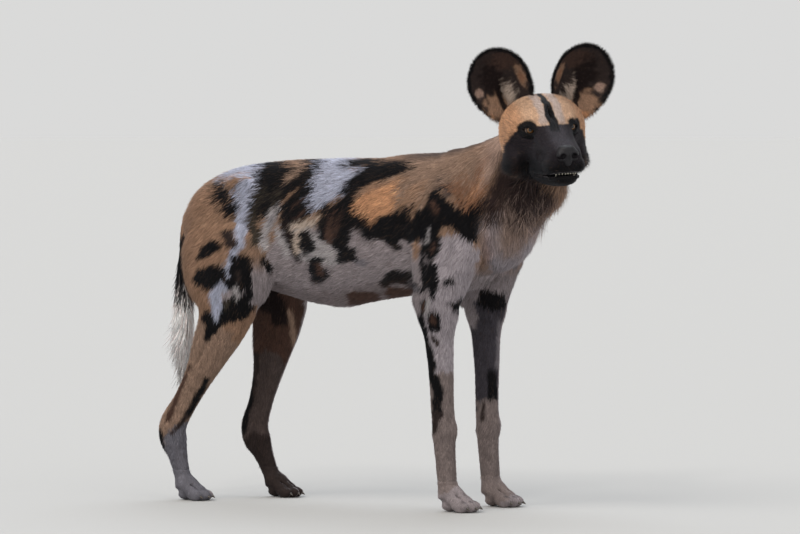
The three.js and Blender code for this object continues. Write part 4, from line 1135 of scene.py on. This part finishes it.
lips = []
for line, lift in ((UPPER_LIP, -1.0), (LOWER_LIP, 1.4)):
    whole = [(x, -y, z + lift) for x, y, z in line] + [(x, y, z + lift) for x, y, z in line[::-1]]
    points, quads, fans = tube(whole, 1.9)
    lips.append((on_head(points), quads, fans))
lip_skin = material_of("lip_skin", Base_Color=(0.028, 0.023, 0.026, 1), Roughness=0.22)
add_grain(lip_skin, "ShaderNodeTexNoise", "Fac", 420, 0.5, 0.0008)
make_object("lips", *joined(lips), "nose_leather", lip_skin)

# The claws: dark blunt horn, one on every toe, curving down to the floor. They are rooted in the toes'
# tips, worn at the ends, and a little paler there.
claws, shares = [], []
for middle, toe, scale in claw_points:
    points, faces, t = horn(13 * scale, 3.0 * scale, 5.5 * scale, 3.0)
    claws.append((points @ toe.T + middle + scale * (toe @ [11, 0, -0.5]), *faces))
    shares.append(t)
claw_row = make_object("claws", *joined(claws), "nose_leather", enamel)
give_colours(claw_row, np.array([0.035, 0.028, 0.024]) * (1 + 1.2 * np.concatenate(shares))[:, None])

# The coat of flanks and legs: short bristly hair that lies back along the body and down the legs. Each
# tuft is a thin three-sided wisp, rooted under the skin and dyed by the markings where it lies.
def roots_on(points, faces, count, seed, weight):
    """Even random places on a surface: the corners of the face each lies on, and its share of them."""
    random = np.random.default_rng(seed)
    tris = halved(faces)
    tris = tris[np.argsort(tris[:, 0], kind="stable")]
    a, b, c = [points[tris[:, i]] for i in range(3)]
    total = np.cumsum(np.linalg.norm(np.cross(b - a, c - a), axis=1) * weight[tris].min(1))
    pick = np.searchsorted(total, (np.arange(count) + random.random(count)) / count * total[-1])
    pick = np.minimum(pick, len(tris) - 1)
    u, v = np.sqrt(random.random(count)), random.random(count)
    return tris[pick], np.stack([1 - u, u * (1 - v), u * v], 1)


def at_roots(values, roots):
    """Values of a mesh's points, blended at places on its faces."""
    corners, shares = roots
    return (values[corners] * shares[..., None]).sum(1)


def unit(vectors):
    return vectors / np.maximum(np.linalg.norm(vectors, axis=-1), 1e-9)[..., None]


def tufts(name, slot, at, normal, lie, length, width, lift, colour, unwrap, seed, rings=1, curl=0.0,
          soften=0.55, spread=0.16, vary=0.2, root_shade=0.68, flecks=0.07):
    """One mesh of many wisps: rings of three points along each, and a tip. Soften turns each wisp's own
    shading towards the skin's, and vary and flecks make some wisps paler or darker."""
    random = np.random.default_rng(seed)
    n = len(at)
    along = unit(lie - (lie * normal).sum(1)[:, None] * normal)
    side = np.cross(along, normal)
    swing = random.normal(0, spread, (n, 1))
    along, side = along * np.cos(swing) + side * np.sin(swing), side * np.cos(swing) - along * np.sin(swing)
    length = (length * random.uniform(0.7, 1.25, n))[:, None]
    width = (width * random.uniform(0.75, 1.2, n))[:, None]
    rise = (lift * random.uniform(0.6, 1.4, n))[:, None]
    bend = side * random.normal(0, 0.12 + curl, (n, 1))
    root = at - normal * (0.25 + 0.06 * length)
    points, shades = [], []
    for k in range(rings + 1):
        t = k / rings if rings > 1 else k
        t = t * (1 if k == rings else 0.92)
        height = rise * (t - 0.42 * t * t) / 0.58 + 0.08 * (1 - t)
        centre = root + along * length * t * (1 - 0.5 * rise ** 2) + normal * length * height
        centre = centre + bend * length * t * t
        # Painted shade among the hairs: every wisp is darkened towards its root and lightened towards its
        # tip.
        shade = root_shade + (1.12 - root_shade) * t
        if k == rings:
            points.append(centre[:, None])
            shades.append(np.full((n, 1), shade))
        else:
            size = width * (1 - 0.75 * t * t) * 0.5
            ring = [centre - side * size, centre + side * size, centre + normal * size * 0.9]
            points.append(np.stack(ring, 1))
            shades.append(np.full((n, 3), shade))
    points, shades = np.concatenate(points, 1), np.concatenate(shades, 1)
    per = points.shape[1]
    faces = []
    for k in range(rings - 1):
        for i in range(3):
            a, b = 3 * k + i, 3 * k + (i + 1) % 3
            faces += [(a, b + 3, b), (a, a + 3, b + 3)]
    last = 3 * (rings - 1)
    faces += [(last + (i + 1) % 3, last + i, per - 1) for i in range(3)]
    faces = (np.array(faces)[None] + per * np.arange(n)[:, None, None]).reshape(-1, 3)
    flat = points.reshape(-1, 3)
    made = make_object(name, flat, [faces], slot, hair)
    clump = 0.10 * waver(at, 11, seed + 1) + 0.12 * waver(at, 5, seed + 2)
    tone = colour * np.exp(random.normal(0, vary, n) + clump)[:, None]
    fleck = (random.random((n, 1)) < flecks) * random.uniform(0.3, 0.7, (n, 1))
    tone = tone * (1 - fleck) + fleck * 0.3 * PAINT["grizzle"]
    give_colours(made, np.minimum(tone[:, None] * shades[..., None], 0.95).reshape(-1, 3))
    own = normals_of(flat, faces)
    blended = unit(own * (1 - soften) + np.repeat(normal, per, 0) * soften)
    made.data.normals_split_custom_set_from_vertices(blended.astype(np.float32))
    patch = np.zeros((per, 2))
    for k in range(rings):
        patch[3 * k:3 * k + 3] = [(-0.0015, 0), (0.0015, 0), (0, 0.0004)]
        patch[3 * k:3 * k + 3, 1] += -0.0015 + 0.003 * k / rings
    patch[-1] = (0, 0.0015)
    uv = (unwrap[:, None] + patch[None]).reshape(-1, 2)[faces.ravel()]
    layer = made.data.uv_layers.new(name="OFBake")
    layer.data.foreach_set("uv", uv.astype(np.float32).ravel())
    return made


def axis_at(stance, names, z):
    """Where a leg's middle lies at each height."""
    joints = sorted((stance[n] for n in names), key=lambda joint: joint[2])
    x, y, heights = zip(*joints)
    return np.interp(z, heights, x), np.interp(z, heights, stance["side"] * np.array(y))


LEG_JOINTS = {
    "fore": ("top", "shoulder", "elbow", "carpus", "foot"),
    "hind": ("hip", "stifle", "hock", "foot"),
}


def unwrapped(points, parts, order):
    """Each part rolled out flat, angle across and length up, in its own cell of the square."""
    uv = np.zeros((len(points), 2))
    columns = math.ceil(math.sqrt(len(order)))
    lines = math.ceil(len(order) / columns)
    for index, part in enumerate(order):
        mine = parts == part
        x, y, z = points[mine].T
        if part == "torso":
            across, along = np.arctan2(y, z - 520), x
        elif part == "head":
            local = to_head(points[mine])
            across, along = np.arctan2(local[:, 1], local[:, 2] + 30), local[:, 0]
        elif part == "neck":
            across = np.arctan2(y - np.interp(x, [200, 320], [0, -44]), 0.6 * (z - 600) - 0.8 * (x - 200))
            along = 0.8 * x + 0.6 * z
        elif part == "tail":
            across, along = np.arctan2(y, x + 473), z
        else:
            cx, cy = axis_at(STANCE[part], LEG_JOINTS[part[:4]], z)
            across, along = np.arctan2(y - cy, x - cx), z
        if mine.any():
            span = max(np.ptp(along), 1e-6)
            cell = np.stack([(across + np.pi) / (2 * np.pi), (along - along.min()) / span], 1)
            uv[mine] = (cell * 0.97 + 0.015 + (index % columns, index // columns)) / (columns, lines)
    return uv


def is_leg(parts):
    return np.char.startswith(parts, "fore") | np.char.startswith(parts, "hind")


def cheek_tuft(local):
    """How near points of the head are to the longer tuft at the angle of the jaw."""
    reach = ((local[:, 0] + 22) / 18) ** 2 + ((local[:, 2] + 60) / 15) ** 2
    return np.exp(-reach) * smoothstep(np.abs(local[:, 1]), 38, 50)


def lie_of(points, normals, parts):
    """Which way the hair lies: back along the trunk and head, down the neck, legs and tail."""
    lie = np.tile([-1.0, 0, -0.28], (len(points), 1))
    steeper = 0.1 + 0.5 * smoothstep(points[:, 2], 470, 550)
    lie[:, 2] -= steeper * smoothstep(np.abs(normals[:, 1]), 0.3, 0.9)
    legs = is_leg(parts)
    down = smoothstep(-points[:, 2], -470, -380) * legs
    upper = legs * (1 - down)
    lie = lie + upper[:, None] * (np.array([-0.55, 0, -0.9]) - lie)
    lie = lie + down[:, None] * (np.array([-0.12, 0, -1.0]) - lie)
    front_of_neck = smoothstep(normals[:, 0], 0.1, 0.6) * (parts != "head")
    neck = smoothstep(points[:, 0], 60, 190) * ~legs * (parts != "head")
    lie = lie + neck[:, None] * (np.array([-0.55, 0, -0.85]) - lie)
    lie = lie + (front_of_neck * (points[:, 2] > 400))[:, None] * (np.array([-0.05, 0, -1.0]) - lie)
    lie[parts == "tail"] = (-0.1, 0, -1)
    head = parts == "head"
    local = to_head(points[head])
    x, y, z = local.T
    flow = np.stack([0 * x - 1, 0.006 * y, 0.4 * smoothstep(z, -20, 20) - 0.35 * smoothstep(-z, 30, 70)], 1)
    flow += cheek_tuft(local)[:, None] * np.stack([0.6 + 0 * x, 0.9 * np.sign(y), 0 * x - 0.3], 1)
    lie[head] = flow @ HEAD_TURN.T
    return lie + 0.16 * np.stack([waver(points, 60, 11), waver(points, 60, 12), waver(points, 60, 13)], 1)


def hidden_caps(points, normals):
    """Where the skin's pieces end inside each other, under the surface, so that no hair grows there."""
    head_x = to_head(points)[:, 0]
    forward = normals @ HEAD_TURN[:, 0]
    hidden = (np.abs(head_x - FACE_BACK) < 1.5) & (forward < -0.9)
    hidden |= (np.abs(head_x - FACE_BACK - OVERLAP) < 3) & (forward > 0.93) & (points[:, 0] < 400)
    hidden |= (np.abs(normals[:, 2]) > 0.95) & (points[:, 2] > ANKLE - 8) & (points[:, 2] < ANKLE + 3)
    return hidden | (np.arange(len(points)) < len(skin_pieces[0][0])) & (points[:, 2] < ANKLE - 2)


hair = pelt("hair", grain_size=1500, depth=0.0002, roughness=0.62, sheen=0.04, darker=1.12)
bare = hidden_caps(skin_points, skin_normals)


def grow(name, slot, count, seed, chosen, sizes, order, **extra):
    """A piece of the coat: roots where chosen says, with lengths, widths and lifts from sizes."""
    weight = chosen(skin_points, skin_parts).astype(float) * ~bare
    roots = roots_on(skin_points, skin_quads, count, seed, weight)
    at, normal = at_roots(skin_points, roots), unit(at_roots(skin_normals, roots))
    parts = part_of(at)
    length, width, lift = sizes(at, normal, parts)
    lie = lie_of(at, normal, parts)
    random = np.random.default_rng(seed + 50)
    along = unit(lie - (lie * normal).sum(1)[:, None] * normal)
    streak = 0.35 + 1.2 * smoothstep(at[:, 2], 500, 590) * ~is_leg(parts) * (parts != "head")
    dyed_at = at + along * (0.5 + streak * (random.random(len(at)) - 0.5) * 1.4)[:, None] * length[:, None]
    colour = markings(dyed_at, normal)
    unwrap = unwrapped(at, parts, order)
    return tufts(name, slot, at, normal, lie, length, width, lift, colour, unwrap, seed, **extra)


def body_sizes(at, normal, parts):
    """Length, width and lift of the tufts on trunk and legs."""
    x, y, z = at.T
    legs = is_leg(parts)
    low = smoothstep(-z, -420, -260)
    foot = smoothstep(-z, -110, -20)
    rear = smoothstep(-normal[:, 0], 0.4, 0.9) * smoothstep(z, 240, 330) * (x < -300)
    length = np.where(legs, 14.5 - 5.5 * low - 4.2 * foot, 15.0)
    length = length + 6 * smoothstep(x, 40, 190) * ~legs
    length = length + 3 * smoothstep(normal[:, 2], 0.6, 0.95) * ~legs + 8 * rear
    width = np.where(legs, 1.7 - 0.5 * low - 0.35 * foot, 1.75)
    return length, width, 0.25 - 0.03 * low - 0.04 * foot + 0.06 * rear


def on_legs(pair):
    """Chooses the legs of one pair, above their soles."""
    return lambda points, parts: np.char.startswith(parts, pair) & ~(points[:, 2] < 9)


LEGS = list(STANCE)
grow("coat_flank_right", "coat", 62000, 21, lambda points, parts: (parts == "torso") & (points[:, 1] <= 0),
     body_sizes, ["torso"])
grow("coat_flank_left", "coat", 62000, 22, lambda points, parts: (parts == "torso") & (points[:, 1] > 0),
     body_sizes, ["torso"])
grow("coat_forelegs", "leg_fur", 50000, 23, on_legs("fore"), body_sizes, LEGS[:2],
     vary=0.14, root_shade=0.76, flecks=0.03)
grow("coat_hindlegs", "leg_fur", 54000, 24, on_legs("hind"), body_sizes, LEGS[2:],
     vary=0.15, root_shade=0.74, flecks=0.04)


# The neck's hair: longer and softer than the body's, and longest down the front, where it stands a
# little away from the skin. It grows in two halves that meet along the neck's middle.
def neck_sizes(at, normal, parts):
    front = smoothstep(normal[:, 0], 0.1, 0.6)
    length = 23 + 12 * front - 6 * smoothstep(at[:, 2], 690, 740)
    return length, np.full(len(at), 1.45), 0.2 + 0.14 * front


grow("coat_neck_right", "neck_fur", 46000, 25,
     lambda points, parts: (parts == "neck") & (past_neck_middle(points) <= 0), neck_sizes, ["neck"])
grow("coat_neck_left", "neck_fur", 46000, 35,
     lambda points, parts: (parts == "neck") & (past_neck_middle(points) > 0), neck_sizes, ["neck"])


# The ruff: the longest and roughest hairs of the throat and chest, scattered over the neck's own hair.
# They curl a little and stand out from the outline.
def ruff_sizes(at, normal, parts):
    return 40 + 10 * smoothstep(-at[:, 2], -600, -570), np.full(len(at), 1.6), np.full(len(at), 0.38)


def on_ruff(points, parts):
    x, y, z = points.T
    front = x * 0.9 + y * 0.35 - z * 0.1
    return (parts == "neck") & (front > 172) & (z > 545) & (z < 665) & (x > 215)


grow("coat_ruff", "neck_fur", 5600, 28, on_ruff, ruff_sizes, ["neck"], rings=2, curl=0.1, spread=0.24)


# The tail's brush: a short-haired tan root, then long straight hairs, black and then white, that hang
# close together and taper to a point.
def tail_sizes(at, normal, parts):
    z = at[:, 2]
    length = np.interp(z, [246, 290, 350, 430, 480, 520], [42, 58, 64, 54, 30, 15])
    lift = np.interp(z, [246, 290, 350, 420, 470, 520], [0.02, 0.05, 0.14, 0.15, 0.09, 0.1])
    return length, 1.7 + 0.4 * (z < 440), lift


grow("coat_tail", "brush_fur", 9000, 26, lambda points, parts: (parts == "tail") & (points[:, 2] > 254),
     tail_sizes, ["tail"], rings=3, spread=0.07, vary=0.1, root_shade=0.95, flecks=0.0, soften=0.3)


# The face's hair: short velvet on the muzzle, longer towards the cheeks and the nape, with a tuft at
# the angle of each jaw. It leaves the eyes, the mouth and the nose bare.
def off_face_gaps(points):
    local = to_head(points)
    x, y, z = local.T
    clear = np.ones(len(points), bool)
    for hand in (-1, 1):
        clear &= np.linalg.norm(local - EYE * (1, hand, 1), axis=1) > EYE_RADIUS + 1.2
    upper, lower = mouth(x)
    clear &= ~((z < upper + 2.5) & (z > lower - 2.5) & (x > 8))
    return clear & ~((x > 106) & (np.abs(y) < 20) & (z > -52))


def face_sizes(at, normal, parts):
    local = to_head(at)
    x, y, z = local.T
    back = smoothstep(-x, -15, 60)
    low = smoothstep(-z, 50, 90)
    crown = smoothstep(z, 20, 45)
    nape = smoothstep(-x, 58, 92)
    length = 4.2 + (8 - 3 * crown) * back + 5 * low * smoothstep(-x, -110, -10) + 7 * nape
    tuft = cheek_tuft(local)
    return length + 15 * tuft, 0.8 + 0.6 * back, 0.27 - 0.1 * crown + 0.1 * low + 0.25 * tuft

grow("coat_face", "face_fur", 62000, 27, lambda points, parts: (parts == "head") & off_face_gaps(points),
     face_sizes, ["head"], vary=0.22, root_shade=0.64)

# The ears' hair: a velvet inside and out, a dark fringe round the rim, and long pale hairs that sweep
# across the opening from its inner edge.
def on_ear(word, name, count, seed, chosen, sizes, sweep=None, **extra):
    front, back, polar, axes = ear_shells[word]
    side = EARS[word]["side"]
    points, quads, fans = shell_mesh(front, back)
    n = polar.shape[0] * polar.shape[1]
    flat = polar.reshape(-1, 3)
    flat = np.vstack([flat, flat, [[0, 0, 0]] * 2])
    facing = np.concatenate([np.ones(n), np.zeros(n + 2)])
    outward = [unit(np.gradient(shell, axis=0)).reshape(-1, 3) for shell in (front, back)]
    outward = np.vstack(outward + [[[0, 0, 1.0]] * 2])
    normals = normals_of(points, np.vstack([quads, fans[:, [0, 1, 2, 2]]]))
    roots = roots_on(points, quads, count, seed, chosen(flat, facing).astype(float))
    at, normal, place = at_roots(points, roots), unit(at_roots(normals, roots)), at_roots(flat, roots)
    inside = at_roots(facing[:, None], roots)[:, 0] > 0.5
    lie = at_roots(outward, roots)
    if sweep is not None:
        lie = np.tile(axes @ (np.array(sweep) * (1, side, 1)), (count, 1))
    lie = lie + 0.25 * np.stack([waver(at, 25, 61), waver(at, 25, 62), waver(at, 25, 63)], 1)
    length, width, lift = sizes(place, inside)
    colour = np.where(inside[:, None], ear_colours(at, place, True), ear_colours(at, place, False))
    across, up = place[:, 0] * place[:, 1], place[:, 0] * place[:, 2]
    uv = np.stack([0.25 + 0.23 * across + 0.5 * inside, 0.5 + 0.47 * up], 1)
    return tufts(name, "ear_fur", at, normal, lie, length, width, lift, colour, uv, seed, **extra)


def velvet(place, inside):
    """Short hair all over, longer at the rim and the foot."""
    rim = smoothstep(place[:, 0], 0.86, 0.97)
    foot = smoothstep(-place[:, 2] * place[:, 0], 0.5, 0.8)
    length = 4.4 + 2.6 * rim + 5 * foot - 0.6 * inside * (1 - rim)
    return length, 0.9 + 0.3 * foot, 0.26 + 0.2 * rim + 0.1 * foot


def inner_edge(place, facing):
    """The pale patch inside the ear, along its inner edge."""
    outer, up = place[:, 1] * place[:, 0], place[:, 2] * place[:, 0]
    return (facing > 0.5) & (np.hypot((outer + 0.38) / 0.2, (up + 0.26) / 0.36) < 1)


def long_hair(place, inside):
    return np.full(len(place), 20.0), np.full(len(place), 0.9), np.full(len(place), 0.3)


for k, word in enumerate(EARS):
    on_ear(word, "coat_ear_" + word, 20000, 71 + k, lambda place, facing: place[:, 0] > 0.05, velvet)
    on_ear(word, "hair_ear_" + word, 900, 81 + k, inner_edge, long_hair, sweep=(0.25, 1.0, -0.55),
           rings=3, curl=0.1, spread=0.2)
